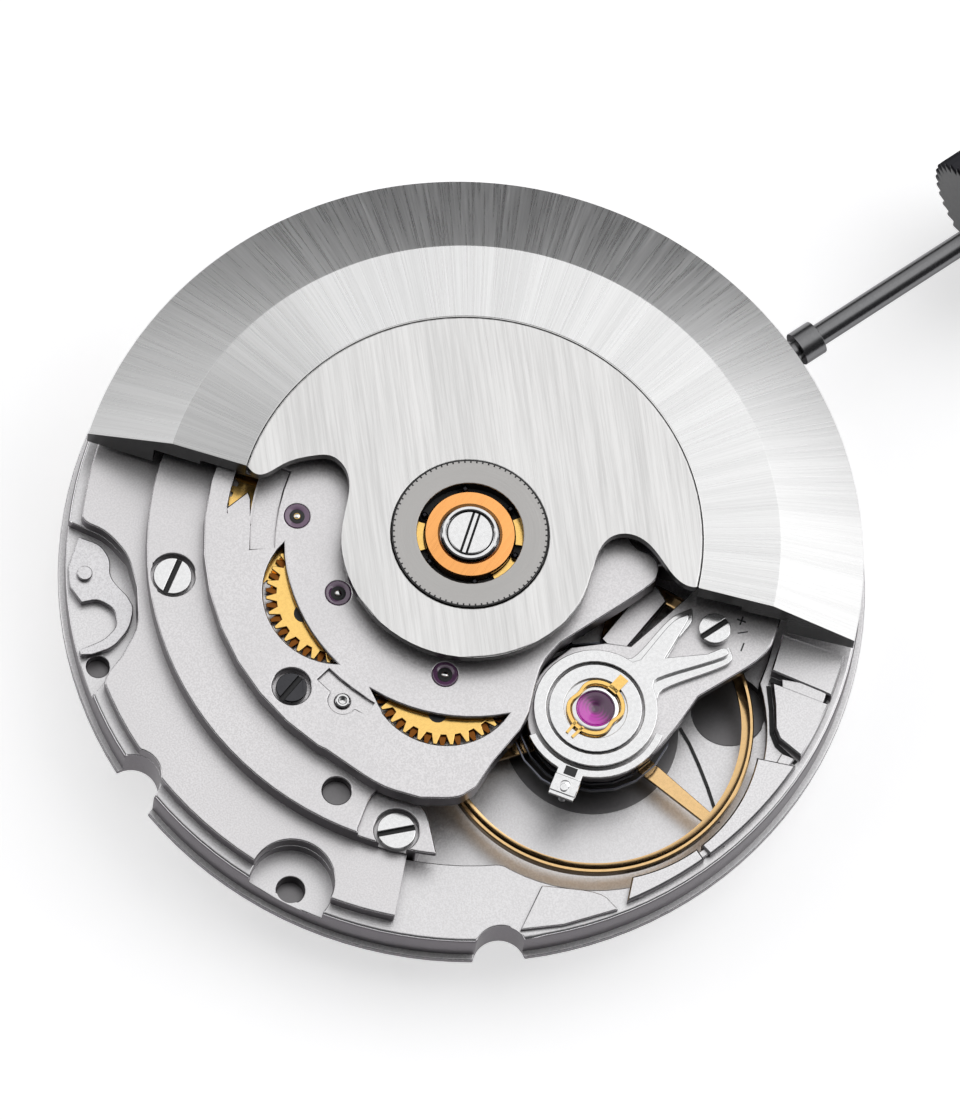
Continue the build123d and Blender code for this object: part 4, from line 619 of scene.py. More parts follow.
def corner_normals(bm: Mesh, rounds: set[int], crease_deg: float = 50.0) -> list[Vector]:
    """Returns the normal of each face corner, so that flats stay flat beside rounded edges.

    Args:
        bm: The mesh.
        rounds: Indices of the faces of the rounded edges.
        crease_deg: Faces that meet at a smaller angle are shaded as one.

    Returns:
        One normal per corner, in face order.
    """
    near = math.cos(math.radians(crease_deg))
    areas = [face.calc_area() for face in bm.faces]
    least = (SLIVER_MM * MM) ** 2
    normals = []
    for face in bm.faces:
        sliver = areas[face.index] < least
        for corner in face.loops:
            around = [f for f in corner.vert.link_faces if areas[f.index] >= least]
            flats = [f for f in around if f.index not in rounds]
            group = flats if face.index not in rounds or flats else around
            if sliver:
                group = sorted(group or around, key=lambda f: areas[f.index])[-1:]
            else:
                group = [f for f in group if f.normal.dot(face.normal) > near]
            total = sum((f.normal * areas[f.index] for f in group), Vector())
            normals.append(total.normalized() if total.length else face.normal.copy())
    return normals


def strays(bm: Mesh, solid: BVHTree, slack: float = 0.000002, turned: float = -0.5) -> list[Vector]:
    """Returns the middles of faces that lie outside a solid or face the wrong way on it.

    Args:
        bm: The bevelled mesh.
        solid: The surface before the bevel.
        slack: Distance in metres that is let pass.
        turned: A face on the solid whose normal agrees less than this with it is turned over.

    Returns:
        The places.
    """
    cut = bm.copy()
    bmesh.ops.triangulate(cut, faces=cut.faces)
    found = []
    for face in cut.faces:
        if face.calc_area() < SPECK_AREA:
            continue
        middle = face.calc_center_median()
        nearest, normal, _, distance = solid.find_nearest(middle)
        outside = distance > slack and (middle - nearest).dot(normal) > slack
        if outside or (distance < slack and normal.dot(face.normal) < turned):
            found.append(middle)
    cut.free()
    return found


def edge_distance(edge: Edge, place: Vector) -> float:
    """Returns how far a place is from an edge."""
    start, end = edge.verts[0].co, edge.verts[1].co
    nearest, share = intersect_point_line(place, start, end)
    return (place - (start if share < 0 else end if share > 1 else nearest)).length


def rounded_corners(bm: Mesh, share_pct: float = 32.0, steps: int = 3, turns_deg: Point = (19.0, 75.0),
                    upright_share: float = 0.98) -> None:
    """Rounds the upright edges at which a drawn outline turns a little.

    Args:
        bm: The mesh.
        share_pct: How far along each neighbouring edge a round reaches, in percent.
        steps: Number of steps in each round.
        turns_deg: The least and the most that the outline turns at a rounded edge.
        upright_share: Least share of an upright edge's length that is height.
    """
    least, most = (math.radians(turn) for turn in turns_deg)
    edges = []
    for edge in bm.edges:
        along = edge.verts[1].co - edge.verts[0].co
        if len(edge.link_faces) != 2 or abs(along.z) < upright_share * along.length:
            continue
        if any(len(vert.link_edges) != 3 for vert in edge.verts):
            continue
        if least < edge.calc_face_angle(0) < most:
            edges.append(edge)
    bevel(bm, edges, share_pct, steps, "PERCENT")


def merged(node: str) -> Mesh:
    """Returns a merged copy of a CAD node's mesh, its flat faces joined."""
    bm = bmesh.new()
    bm.from_mesh(frame["nodes"][node].data)
    bmesh.ops.remove_doubles(bm, verts=bm.verts, dist=MERGE_DISTANCE)
    bmesh.ops.dissolve_limit(bm, angle_limit=math.radians(FLAT_DEG), verts=bm.verts, edges=bm.edges)
    return bm


def safe_edges(bm: Mesh, width: float, tries: int = 8, reach: float = 2.2) -> list[Edge]:
    """Returns the edges that can be bevelled without leaving the solid or turning faces over.

    Args:
        bm: The closed mesh.
        width: Bevel width in metres.
        tries: Most rounds of trial bevels.
        reach: Edges within this many widths of a stray face are left sharp.

    Returns:
        The edges.
    """
    solid = BVHTree.FromBMesh(bm)
    bm.edges.index_update()
    edges = convex_edges(bm)
    for _ in range(tries):
        trial = bm.copy()
        trial.edges.ensure_lookup_table()
        chamfer(trial, width, [trial.edges[e.index] for e in edges], 2)
        found = strays(trial, solid)
        trial.free()
        if not found:
            break
        edges = [e for e in edges if all(edge_distance(e, place) > reach * width for place in found)]
    return edges


def bevelled(node: str, width_mm: float, material: Material, drawn: bool = False) -> None:
    """Replaces a CAD node by a copy of it with finished edges, which stays inside the solid.

    Args:
        node: The CAD node.
        width_mm: Bevel width in millimetres.
        material: Its material.
        drawn: Whether the corners of its drawn outline are rounded first.
    """
    bm = merged(node)
    if drawn:
        rounded_corners(bm)
    edges = safe_edges(bm, width_mm * MM)
    normals = corner_normals(bm, chamfer(bm, width_mm * MM, edges, 2))
    stand_in(bm, f"{node}_finished", node, material, normals=normals)


def islands(node: str) -> list[tuple[Vector, Vector]]:
    """Returns the box of each separate solid in a node's mesh, in the same order in each run."""
    bm = merged(node)
    left = set(bm.verts)
    boxes = []
    while left:
        group = {left.pop()}
        queue = list(group)
        while queue:
            for edge in queue.pop().link_edges:
                for vert in edge.verts:
                    if vert in left:
                        left.discard(vert)
                        group.add(vert)
                        queue.append(vert)
        places = [vert.co for vert in group]
        low = Vector([min(p[k] for p in places) for k in range(3)])
        high = Vector([max(p[k] for p in places) for k in range(3)])
        boxes.append((low, high))
    bm.free()
    return sorted(boxes, key=lambda box: tuple(box[0]))


def joined(parts: Iterable[Mesh]) -> Mesh:
    """Returns one mesh made of several, which are freed."""
    whole = bmesh.new()
    for part in parts:
        mesh = mesh_of(part, "part")
        whole.from_mesh(mesh)
        bpy.data.meshes.remove(mesh)
    return whole


def polar(radius_mm: float, turn_deg: float, centre_mm: Point = ORIGIN) -> Point:
    """Returns the place at a distance and direction from a centre."""
    turn = math.radians(turn_deg)
    return (centre_mm[0] + radius_mm * math.cos(turn), centre_mm[1] + radius_mm * math.sin(turn))


def arc_points(centre_mm: Point, radius_mm: float, start_deg: float, end_deg: float,
               steps: int = 24) -> list[Point]:
    """Returns points along an arc, which is cut into equal steps."""
    turns = [start_deg + (end_deg - start_deg) * k / steps for k in range(steps + 1)]
    return [polar(radius_mm, turn, centre_mm) for turn in turns]


def turned(bm: Mesh, turn_deg: float) -> None:
    """Turns a mesh about the upright axis through the origin."""
    turn = Matrix.Rotation(math.radians(turn_deg), 3, "Z")
    bmesh.ops.rotate(bm, cent=(0, 0, 0), matrix=turn, verts=bm.verts)


def moved(bm: Mesh, place_mm: Sequence[float]) -> None:
    """Moves a mesh in plan, and up where a height is given too."""
    bmesh.ops.translate(bm, vec=Vector(place_mm).to_3d() * MM, verts=bm.verts)


def raised(bm: Mesh, faces: Sequence[Face], height_mm: float) -> None:
    """Extrudes flat faces upwards into a closed mesh."""
    made = bmesh.ops.extrude_face_region(bm, geom=faces)
    lifted = [v for v in made["geom"] if isinstance(v, bmesh.types.BMVert)]
    bmesh.ops.translate(bm, vec=(0, 0, height_mm * MM), verts=lifted)
    bmesh.ops.recalc_face_normals(bm, faces=bm.faces)


def block(size_mm: Triple, place_mm: Triple, turn_deg: float = 0.0) -> Mesh:
    """Returns a box whose middle is at a place.

    Args:
        size_mm: Length, width and height.
        place_mm: Middle of the box.
        turn_deg: Turn about the upright axis.

    Returns:
        The mesh.
    """
    bm = bmesh.new()
    bmesh.ops.create_cube(bm, size=MM)
    bmesh.ops.scale(bm, vec=size_mm, verts=bm.verts)
    turned(bm, turn_deg)
    moved(bm, place_mm)
    return bm


def slab(outline_mm: Points, low_mm: float, top_mm: float, edge_mm: float) -> Mesh:
    """Returns a flat slab with finished edges above an outline.

    Args:
        outline_mm: Corners of the outline, in millimetres.
        low_mm: Its lower level.
        top_mm: Its upper level.
        edge_mm: Bevel width of the upper edges, or 0 for none.

    Returns:
        The mesh.
    """
    bm = bmesh.new()
    floor = bm.faces.new([bm.verts.new((x * MM, y * MM, low_mm * MM)) for x, y in outline_mm])
    raised(bm, [floor], top_mm - low_mm)
    if edge_mm:
        level = (top_mm - LEVEL_SLACK_MM) * MM
        chamfer(bm, edge_mm * MM, [e for e in bm.edges if all(v.co.z > level for v in e.verts)])
    return bm


def profile_ring(points_mm: Points, steps: int, start_deg: float = 0.0, span_deg: float = 360.0,
                 centre_mm: Point = ORIGIN) -> Mesh:
    """Spins a closed half profile about an upright axis.

    Args:
        points_mm: Profile corners as radius and height.
        steps: Number of steps along the turn.
        start_deg: Angle of the first section.
        span_deg: Angle covered. A full turn is merged, any other is capped.
        centre_mm: Plan position of the axis.

    Returns:
        The closed mesh.
    """
    bm = bmesh.new()
    at = Vector((*centre_mm, 0.0)) * MM
    places = [Vector((*polar(radius, start_deg), height)) * MM for radius, height in points_mm]
    verts = [bm.verts.new(at + place) for place in places]
    edges = [bm.edges.new((verts[i], verts[(i + 1) % len(verts)])) for i in range(len(verts))]
    full = span_deg == 360.0
    if not full:
        bm.faces.new(verts)
    bmesh.ops.spin(bm, geom=edges, cent=at, axis=(0, 0, 1), dvec=(0, 0, 0), angle=math.radians(span_deg),
                   steps=steps, use_merge=full, use_duplicate=False)
    if not full:
        bmesh.ops.holes_fill(bm, edges=[e for e in bm.edges if e.is_boundary], sides=0)
    bmesh.ops.remove_doubles(bm, verts=bm.verts, dist=WELD_DISTANCE)
    bmesh.ops.recalc_face_normals(bm, faces=bm.faces)
    return bm


def ring(band: Band, steps: int, start_deg: float = 0.0, span_deg: float = 360.0,
         centre_mm: Point = ORIGIN) -> Mesh:
    """Returns a plain ring of a band, which is its inner and outer radius and its lower and upper height."""
    inner, outer, low, high = band
    corners = ((inner, low), (outer, low), (outer, high), (inner, high))
    return profile_ring(corners, steps, start_deg, span_deg, centre_mm)


def half_disc(profile: Points, flat_mm: float, turn_deg: float, steps: int = 48) -> Mesh:
    """Returns the part of a turned disc that lies beyond one side of a slot.

    Args:
        profile: The disc's profile, as radius and height.
        flat_mm: Distance of the flat from the middle.
        turn_deg: Direction that the flat faces away from.
        steps: Number of steps round the disc.

    Returns:
        The closed mesh.
    """
    bm = profile_ring(profile, steps)
    facing = Vector((*polar(1.0, turn_deg), 0.0))
    geom = list(bm.verts) + list(bm.edges) + list(bm.faces)
    bmesh.ops.bisect_plane(bm, geom=geom, plane_co=facing * flat_mm * MM, plane_no=facing, clear_inner=True)
    bmesh.ops.holes_fill(bm, edges=[e for e in bm.edges if e.is_boundary], sides=0)
    bmesh.ops.recalc_face_normals(bm, faces=bm.faces)
    return bm


# Sub-assemblies


@dataclass
class WindingWeight:
    """The heavy bevelled segment and its brushed centre plate with a polished outline."""

    metals: Metals
    start_deg: float = -48.2
    end_deg: float = 127.5
    steps: int = 176
    crease_deg: float = 14.0
    plate_bevel: float = 0.07
    profile: Points = (
        (7.5, 3.62), (9.0, 3.62), (9.0, 3.3), (10.55, 3.3), (10.55, 2.3), (12.72, 2.3), (12.75, 2.33),
        (12.75, 2.93), (12.73, 2.96), (10.02, 4.285), (9.98, 4.3), (7.53, 4.395), (7.5, 4.36),
    )

    def build(self) -> None:
        """Builds the whole weight."""
        segment = profile_ring(self.profile, self.steps, self.start_deg, self.end_deg - self.start_deg)
        material = self.metals.weight_segment
        stand_in(segment, "weight_segment_turned", "weight_segment", material, crease_deg=self.crease_deg)
        bevelled("weight_plate", self.plate_bevel, self.metals.weight_plate)


@dataclass
class WeightBearing:
    """The ball bearing at the middle of the winding weight, and the screw on its post."""

    metals: Metals
    ring_bevel: float = 0.03
    race: Points = (
        (0.97, 3.96), (1.45, 3.96), (1.47, 4.0), (1.47, 4.38), (1.43, 4.44), (1.04, 4.45), (0.97, 4.4),
    )
    race_crease_deg: float = 30.0
    cage: Band = (1.49, 1.71, 4.08, 4.16)
    cage_glint_spans: Points = ((128, 162), (264, 298), (316, 348))
    track_shade: Band = (1.48, 1.72, 3.97, 4.01)
    staking_line: Band = (2.475, 2.515, 4.49, 4.503)
    staking_size: Triple = (0.07, 0.05, 0.012)
    staking_radius: float = 2.45
    staking_height: float = 4.497
    staking_count: int = 80
    screw_collar: Points = (
        (0, 4.3), (0.92, 4.3), (0.92, 4.55), (0.88, 4.59), (0.8, 4.59), (0.77, 4.56), (0.77, 4.4), (0, 4.4),
    )
    screw_head: Points = ((0, 4.39), (0.725, 4.39), (0.725, 4.54), (0.695, 4.57), (0, 4.57))
    screw_slot_half: float = 0.135
    screw_rib_size: Triple = (1.4, 0.11, 0.13)
    screw_rib_height: float = 4.465
    screw_shade: Band = (0.0, 0.765, 4.395, 4.41)
    screw_turn_deg: float = 127.0

    def outer_ring(self) -> None:
        """Builds the satin outer ring and the fine staking marks round it."""
        bevelled("weight_bearing", self.ring_bevel, self.metals.ring_satin)
        marks = [ring(self.staking_line, 120)]
        for k in range(self.staking_count):
            turn = 360.0 * k / self.staking_count
            place = (*polar(self.staking_radius, turn), self.staking_height)
            marks.append(block(self.staking_size, place, turn))
        settled(joined(marks), "bearing_staking", "winding_weight", "bearing_steel", self.metals.mark)

    def balls(self) -> None:
        """Builds gilt cage arcs only where gold glints show, partly real cage and partly painted highlight,
        the painted shade of the dark track in the gap, and paints the balls dark as painted shade.
        """
        parts = [ring(self.cage, 6, start, end - start) for start, end in self.cage_glint_spans]
        settled(joined(parts), "ball_cage_glints", "winding_weight", "bearing_steel", self.metals.gold)
        settled(ring(self.track_shade, 72), "ball_track_shade", "winding_weight", "bearing_steel", self.metals.mark)
        # Painted shade: the balls in the gap are painted dark.
        painted(self.metals.dark, "bearing_balls")

    def screw(self) -> None:
        """Builds the polished screw on the post."""
        parts = [profile_ring(self.screw_collar, 64)]
        for side in (0, 180):
            parts.append(half_disc(self.screw_head, self.screw_slot_half, self.screw_turn_deg + side))
        parts.append(block(self.screw_rib_size, (0, 0, self.screw_rib_height), self.screw_turn_deg - 90))
        stand_in(joined(parts), "post_screw_finished", "post_screw", self.metals.steel)
        settled(ring(self.screw_shade, 48), "post_screw_shade", BASE, "polished_steel", self.metals.mark)

    def build(self) -> None:
        """Builds the bearing."""
        self.outer_ring()
        self.balls()
        self.screw()
        race = profile_ring(self.race, 72)
        stand_in(race, "bearing_race_turned", "bearing_race", self.metals.copper,
                 crease_deg=self.race_crease_deg)


@dataclass
class CaseWork:
    """The plate, the bridges and the levers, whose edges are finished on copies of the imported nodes."""

    metals: Metals
    bridge_bevel: float = 0.06
    plate_bevel: float = 0.05
    small_bevel: float = 0.04
    screw_bevel: float = 0.035
    thin_bevel: float = 0.02
    slot_depth: float = 0.04
    slot_floor: Point = (-0.005, 0.006)
    flat_share: float = 0.99
    hole_shade_floors: tuple[tuple[Point, float, float, float], ...] = (
        ((4.35, -8.6), 1.19, 0.38, 0.42), ((-10.9, -5.75), 0.44, 0.3, 0.5), ((-8.17, -4.29), 0.45, 2.3, 2.36),
        ((-11.6, 3.95), 0.35, 0.4, 0.6),
    )
    casing_reach: float = 12.54
    balance_reach: float = 5.38
    pad_foot: float = 1.2
    pad_bevel: float = 0.05
    pads: tuple[tuple[Point, Points | None, Point, float], ...] = (
        ((-55.7, -49.0), ((7.0, -7.75), (5.98, -8.56), (6.9, -10.05)), ORIGIN, 1.95),
        ((-66.2, -56.9), ((5.78, -8.88), (5.4, -9.55), (4.94, -10.22), (4.84, -10.6)), ORIGIN, 1.93),
        ((-86.6, -67.6), None, (-47.0, -85.2), 1.76),
        ((-101.0, -87.8), None, (-87.3, -112.0), 1.76),
    )
    tongues: tuple[tuple[Points, float, float, float], ...] = (
        (((1.93, -4.73), (1.99, -5.1), (2.37, -5.48), (4.43, -4.88), (4.49, -4.16), (3.85, -4.14)),
         2.05, 2.45, 0.05),
        (((-5.71, 5.39), (-4.78, 5.46), (-4.86, 5.2), (-5.26, 4.63), (-5.87, 5.04)), 3.08, 3.47, 0.04),
    )
    recess_shade: Band = (0.0, 2.8, 0.845, 0.862)
    line_lap: float = 0.02
    line_height: float = 0.02
    step_shade_lines: tuple[tuple[float, float, Points], ...] = (
        (0.868, 0.11,
         ((2.69, -8.23), (2.62, -8.85), (2.46, -9.57), (2.24, -10.38), (2.0, -11.1), (1.82, -11.55))),
        (1.6, 0.17, ((5.85, -8.7), (6.9, -10.32))),
        (1.465, 0.15, ((5.72, -8.82), (5.32, -9.52), (4.86, -10.2), (4.75, -10.62), (4.9, -11.45))),
    )

    def slot_shade_floors(self) -> None:
        """Builds painted shade: dark floors in the screws' slots."""
        for node in ("bridge_screws", "module_screws", "eccentric_screw"):
            bm = merged(node)
            boxes = islands(node)
            floors = []
            for face in bm.faces:
                middle = face.calc_center_median()
                tops = [high.z for low, high in boxes
                        if low.x < middle.x < high.x and low.y < middle.y < high.y]
                if face.normal.z > self.flat_share and tops and tops[0] - middle.z > self.slot_depth * MM:
                    outline = [(vert.co.x / MM, vert.co.y / MM) for vert in face.verts]
                    low, top = (middle.z / MM + step for step in self.slot_floor)
                    floors.append(slab(outline, low, top, 0.0))
            bm.free()
            body = frame["nodes"][node]["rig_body"]
            settled(joined(floors), f"{node}_slots", body, slot_of_node(node), self.metals.mark)

    def raised_pads(self) -> None:
        """Builds the raised pads between the balance and the casing rim, and two small bridge tongues."""
        parts = []
        for span, corners, inner_span, top in self.pads:
            inner = corners or arc_points(BALANCE_AT, self.balance_reach, *inner_span)
            outline = [*arc_points(ORIGIN, self.casing_reach, *span), *inner]
            parts.append(slab(outline, self.pad_foot, top, self.pad_bevel))
        settled(joined(parts), "plate_pads", BASE, "plate_metal", self.metals.plate)
        tongues = joined(slab(*tongue) for tongue in self.tongues)
        settled(tongues, "bridge_tongues", BASE, "bridge_metal", self.metals.bridge)

    def painted_step_shade(self) -> None:
        """Builds the painted shade of the turned recess under the hairspring and painted shade lines along
        the plate's steps.
        """
        disc = ring(self.recess_shade, 96, centre_mm=BALANCE_AT)
        settled(disc, "spring_recess_shade", BASE, "plate_metal", self.metals.shaded_hole)
        step_shade_lines = []
        for level, width, points in self.step_shade_lines:
            for start, end in zip(points, points[1:]):
                middle = ((start[0] + end[0]) / 2, (start[1] + end[1]) / 2, level)
                turn = math.degrees(math.atan2(end[1] - start[1], end[0] - start[0]))
                size = (math.dist(start, end) + self.line_lap, width, self.line_height)
                step_shade_lines.append(block(size, middle, turn))
        settled(joined(step_shade_lines), "plate_step_shade_lines", BASE, "plate_metal", self.metals.mark)

    def build(self) -> None:
        """Builds every bridge, lever and screw."""
        metals = self.metals
        bevelled("main_plate", self.plate_bevel, metals.plate, drawn=True)
        bevelled("pallet_bridge", self.small_bevel, metals.plate, drawn=True)
        for node in ("barrel_bridge", "train_bridge", "module_bridge", "balance_cock"):
            bevelled(node, self.bridge_bevel, metals.bridge, drawn=True)
        bevelled("module_lower_bridge", self.thin_bevel, metals.bridge)
        for node in ("dial_fastener_a", "dial_fastener_b"):
            bevelled(node, self.small_bevel, metals.lever, drawn=True)
        for node in ("bridge_screws", "eccentric_screw"):
            bevelled(node, self.screw_bevel, metals.steel)
        bevelled("module_screws", self.screw_bevel, metals.black)
        # Painted shade: dark floors in the blind holes.
        floors = [ring((0.0, radius, low, high), 40, centre_mm=at)
                  for at, radius, low, high in self.hole_shade_floors]
        settled(joined(floors), "blind_hole_shade_floors", BASE, "plate_metal", metals.shaded_hole)
        self.slot_shade_floors()
        self.raised_pads()
        self.painted_step_shade()


@dataclass
class Jewels:
    """Every bearing jewel, dished and with its oil cup, and the bright pivot ends seen in them.

    Heights in the profiles are measured from the jewel's top, but those of the cap jewel's setting.
    """

    metals: Metals
    dish: Points = ((0.13, -0.16), (0.4, -0.16), (0.4, -0.004), (0.37, 0.0), (0.24, -0.06), (0.13, -0.085))
    cup: Points = ((0.115, -0.09), (0.24, -0.09), (0.245, -0.056), (0.235, -0.05), (0.115, -0.06))
    pivot: Points = ((0, -0.13), (0.108, -0.13), (0.108, -0.04), (0.08, -0.014), (0, -0.008))
    cap_radius: float = 0.6
    cap_top: Points = (
        (0.6, -0.05), (0.55, 0.0), (0.42, 0.0), (0.38, -0.02), (0.2, -0.02), (0.16, -0.05), (0, -0.05),
    )
    cap_setting: Points = (
        (0.605, 2.985), (0.8, 2.985), (0.8, 3.01), (0.74, 3.06), (0.63, 3.06), (0.605, 3.03),
    )
    cap_least: float = 1.0
    module_level: float = 3.4
    pivots: tuple[tuple[Point, str], ...] = (
        ((-4.0, 4.0), "reduction"), ((-4.0, 1.0), "first_lower_reverser"),
        ((-3.0, -3.0), "second_lower_reverser"),
    )

    def build(self) -> None:
        """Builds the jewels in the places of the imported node's solids."""
        dishes, cups = [], []
        for low, high in islands("bearing_jewels"):
            at = ((low.x + high.x) / 2 / MM, (low.y + high.y) / 2 / MM)
            top = high.z / MM
            if high.x - low.x > self.cap_least * MM:
                self.cap(at, low.z / MM, top)
                continue
            dishes.append(self.spun(self.dish, top, at, 40))
            cups.append(self.spun(self.cup, top, at, 32))
            if top > self.module_level:
                body = min(self.pivots, key=lambda pivot: math.dist(pivot[0], at))[1]
                tip = self.spun(self.pivot, top, at, 24)
                settled(tip, f"pivot_end_{body}", body, "polished_steel", self.metals.steel)
        stand_in(joined(dishes), "jewels_dished", "bearing_jewels", self.metals.ruby)
        settled(joined(cups), "jewel_oil_cups", BASE, "jewel_ruby", self.metals.mark)

    def spun(self, profile: Points, top: float, at: Point, steps: int) -> Mesh:
        """Returns a profile whose heights are measured from a jewel's top, spun in its place."""
        return profile_ring([(radius, top + height) for radius, height in profile], steps, centre_mm=at)

    def cap(self, at: Point, low: float, top: float) -> None:
        """Builds the balance's cap jewel with its polished rings."""
        foot = ((0, low - top), (self.cap_radius, low - top))
        jewel = self.spun((*foot, *self.cap_top), top, at, 64)
        settled(jewel, "cap_jewel_ringed", BASE, "jewel_ruby", self.metals.cap_ruby)
        setting = profile_ring(self.cap_setting, 64, centre_mm=at)
        settled(setting, "cap_jewel_setting", BASE, "polished_steel", self.metals.steel)


@dataclass
class Balance:
    """The balance with its channelled rim, and the regulator above it."""

    metals: Metals
    centre: Point = BALANCE_AT
    rim: Points = (
        (4.78, 1.5), (5.13, 1.5), (5.17, 1.54), (5.17, 1.81), (5.13, 1.85), (5.05, 1.85), (5.0, 1.81),
        (4.84, 1.71), (4.78, 1.7),
    )
    rim_crease_deg: float = 32.0
    hub: Points = ((0.2, 1.56), (0.6, 1.56), (0.6, 1.8), (0.55, 1.85), (0.2, 1.85))
    arm_turns: Triple = (-76.0, 44.0, 164.0)
    arm_size: Triple = (4.4, 0.68, 0.14)
    arm_place: Triple = (2.62, 0.0, 1.63)
    arm_taper: float = 0.6
    arm_bevel: float = 0.02
    lyre_turn_deg: float = 13.0
    lyre_steps: int = 96
    lyre_radii: Point = (0.81, 0.95)
    lyre_notch: float = 0.17
    lyre_notch_power: int = 12
    lyre_low: float = 3.06
    lyre_height: float = 0.08
    lyre_bevel: float = 0.015
    lyre_arms: tuple[tuple[Triple, Triple, float], ...] = (
        ((0.62, 0.34, 0.08), (1.08, 0.0, 3.1), 0.0),
        ((0.5, 0.09, 0.08), (-1.02, -0.13, 3.1), -4.0),
        ((0.5, 0.09, 0.08), (-1.02, 0.13, 3.1), 4.0),
    )
    index_strokes: tuple[tuple[Triple, Triple, float], ...] = (
        ((0.3, 0.05, 0.006), (5.95, -6.85, 2.752), 35.0), ((0.05, 0.3, 0.006), (5.95, -6.85, 2.752), 35.0),
        ((0.3, 0.05, 0.006), (5.45, -7.6, 2.752), 35.0), ((0.34, 0.04, 0.006), (5.75, -7.2, 2.752), -25.0),
    )
    stud_turn_deg: float = -146.0
    stud_reach: float = 2.78
    stud_size: Triple = (0.62, 0.9, 0.12)
    stud_height: float = 2.9
    stud_bevel: float = 0.03
    stud_pin: Points = ((0, 2.9), (0.16, 2.9), (0.16, 2.98), (0.12, 3.01), (0, 3.01))
    window_reach: float = 2.27
    window_size: Triple = (0.3, 0.4, 0.012)
    window_height: float = 2.931
    index_bevel: float = 0.035
    holder_bevel: float = 0.02
    shock_bevel: float = 0.03

    def wheel(self) -> None:
        """Builds the rim, arms and hub."""
        rings = ((self.rim, 160), (self.hub, 48))
        parts = [profile_ring(profile, steps, centre_mm=self.centre) for profile, steps in rings]
        parts.extend(self.arm(turn) for turn in self.arm_turns)
        stand_in(joined(parts), "balance_rim_turned", "balance_wheel", self.metals.balance,
                 crease_deg=self.rim_crease_deg)

    def arm(self, turn_deg: float) -> Mesh:
        """Returns one tapered arm."""
        bm = block(self.arm_size, self.arm_place)
        outer = [v for v in bm.verts if v.co.x > self.arm_place[0] * MM]
        bmesh.ops.scale(bm, vec=(1, self.arm_taper, 1), verts=outer)
        chamfer(bm, self.arm_bevel * MM)
        turned(bm, turn_deg)
        moved(bm, self.centre)
        return bm

    def lyre(self) -> None:
        """Builds the gilt lyre-shaped spring over the cap jewel."""
        bm = bmesh.new()
        for base in self.lyre_radii:
            made = bmesh.ops.create_circle(bm, segments=self.lyre_steps, radius=MM, cap_ends=False)
            for vert in made["verts"]:
                angle = math.atan2(vert.co.y, vert.co.x)
                vert.co *= base - self.lyre_notch * math.sin(angle) ** self.lyre_notch_power
        bmesh.ops.bridge_loops(bm, edges=list(bm.edges))
        raised(bm, list(bm.faces), self.lyre_height)
        moved(bm, (*ORIGIN, self.lyre_low))
        chamfer(bm, self.lyre_bevel * MM)
        whole = joined([bm, *(block(*arm) for arm in self.lyre_arms)])
        turned(whole, self.lyre_turn_deg)
        moved(whole, self.centre)
        stand_in(whole, "shock_lyre", "shock_spring", self.metals.gold)

    def stud(self) -> None:
        """Builds the block that grips the hairspring's stud, with its pin and the painted shade of its
        window.
        """
        at = polar(self.stud_reach, self.stud_turn_deg, self.centre)
        body = block(self.stud_size, (*at, self.stud_height), self.stud_turn_deg)
        chamfer(body, self.stud_bevel * MM)
        pin = profile_ring(self.stud_pin, 28, centre_mm=at)
        settled(joined([body, pin]), "stud_block", "stud_arm", "polished_steel", self.metals.steel)
        # Painted shade: a dark sheet in the stud's window.
        window_at = polar(self.window_reach, self.stud_turn_deg, self.centre)
        window_shade = block(self.window_size, (*window_at, self.window_height), self.stud_turn_deg)
        settled(window_shade, "stud_window_shade", "stud_arm", "polished_steel", self.metals.mark)

    def build(self) -> None:
        """Builds the balance and its regulator."""
        self.wheel()
        self.lyre()
        strokes = joined(block(*stroke) for stroke in self.index_strokes)
        settled(strokes, "index_marks", BASE, "bridge_metal", self.metals.mark)
        self.stud()
        bevelled("regulator_index", self.index_bevel, self.metals.steel, drawn=True)
        bevelled("stud_holder", self.holder_bevel, self.metals.steel)
        bevelled("shock_block", self.shock_bevel, self.metals.steel)
        painted(self.metals.steel, "balance_staff")
        painted(self.metals.spring, "hairspring")


@dataclass
class SteadyPin:
    """The hollow steady pin that stands between the two sight windows."""

    metals: Metals
    centre: Point = (-6.42, -2.08)
    profile: Points = (
        (0, 2.82), (0.24, 2.82), (0.24, 3.44), (0.2, 3.48), (0.15, 3.48), (0.12, 3.45), (0.12, 3.3), (0, 3.3),
    )

    def build(self) -> None:
        """Builds the pin."""
        pin = profile_ring(self.profile, 40, centre_mm=self.centre)
        stand_in(pin, "steady_pin_turned", "steady_pin", self.metals.steel)


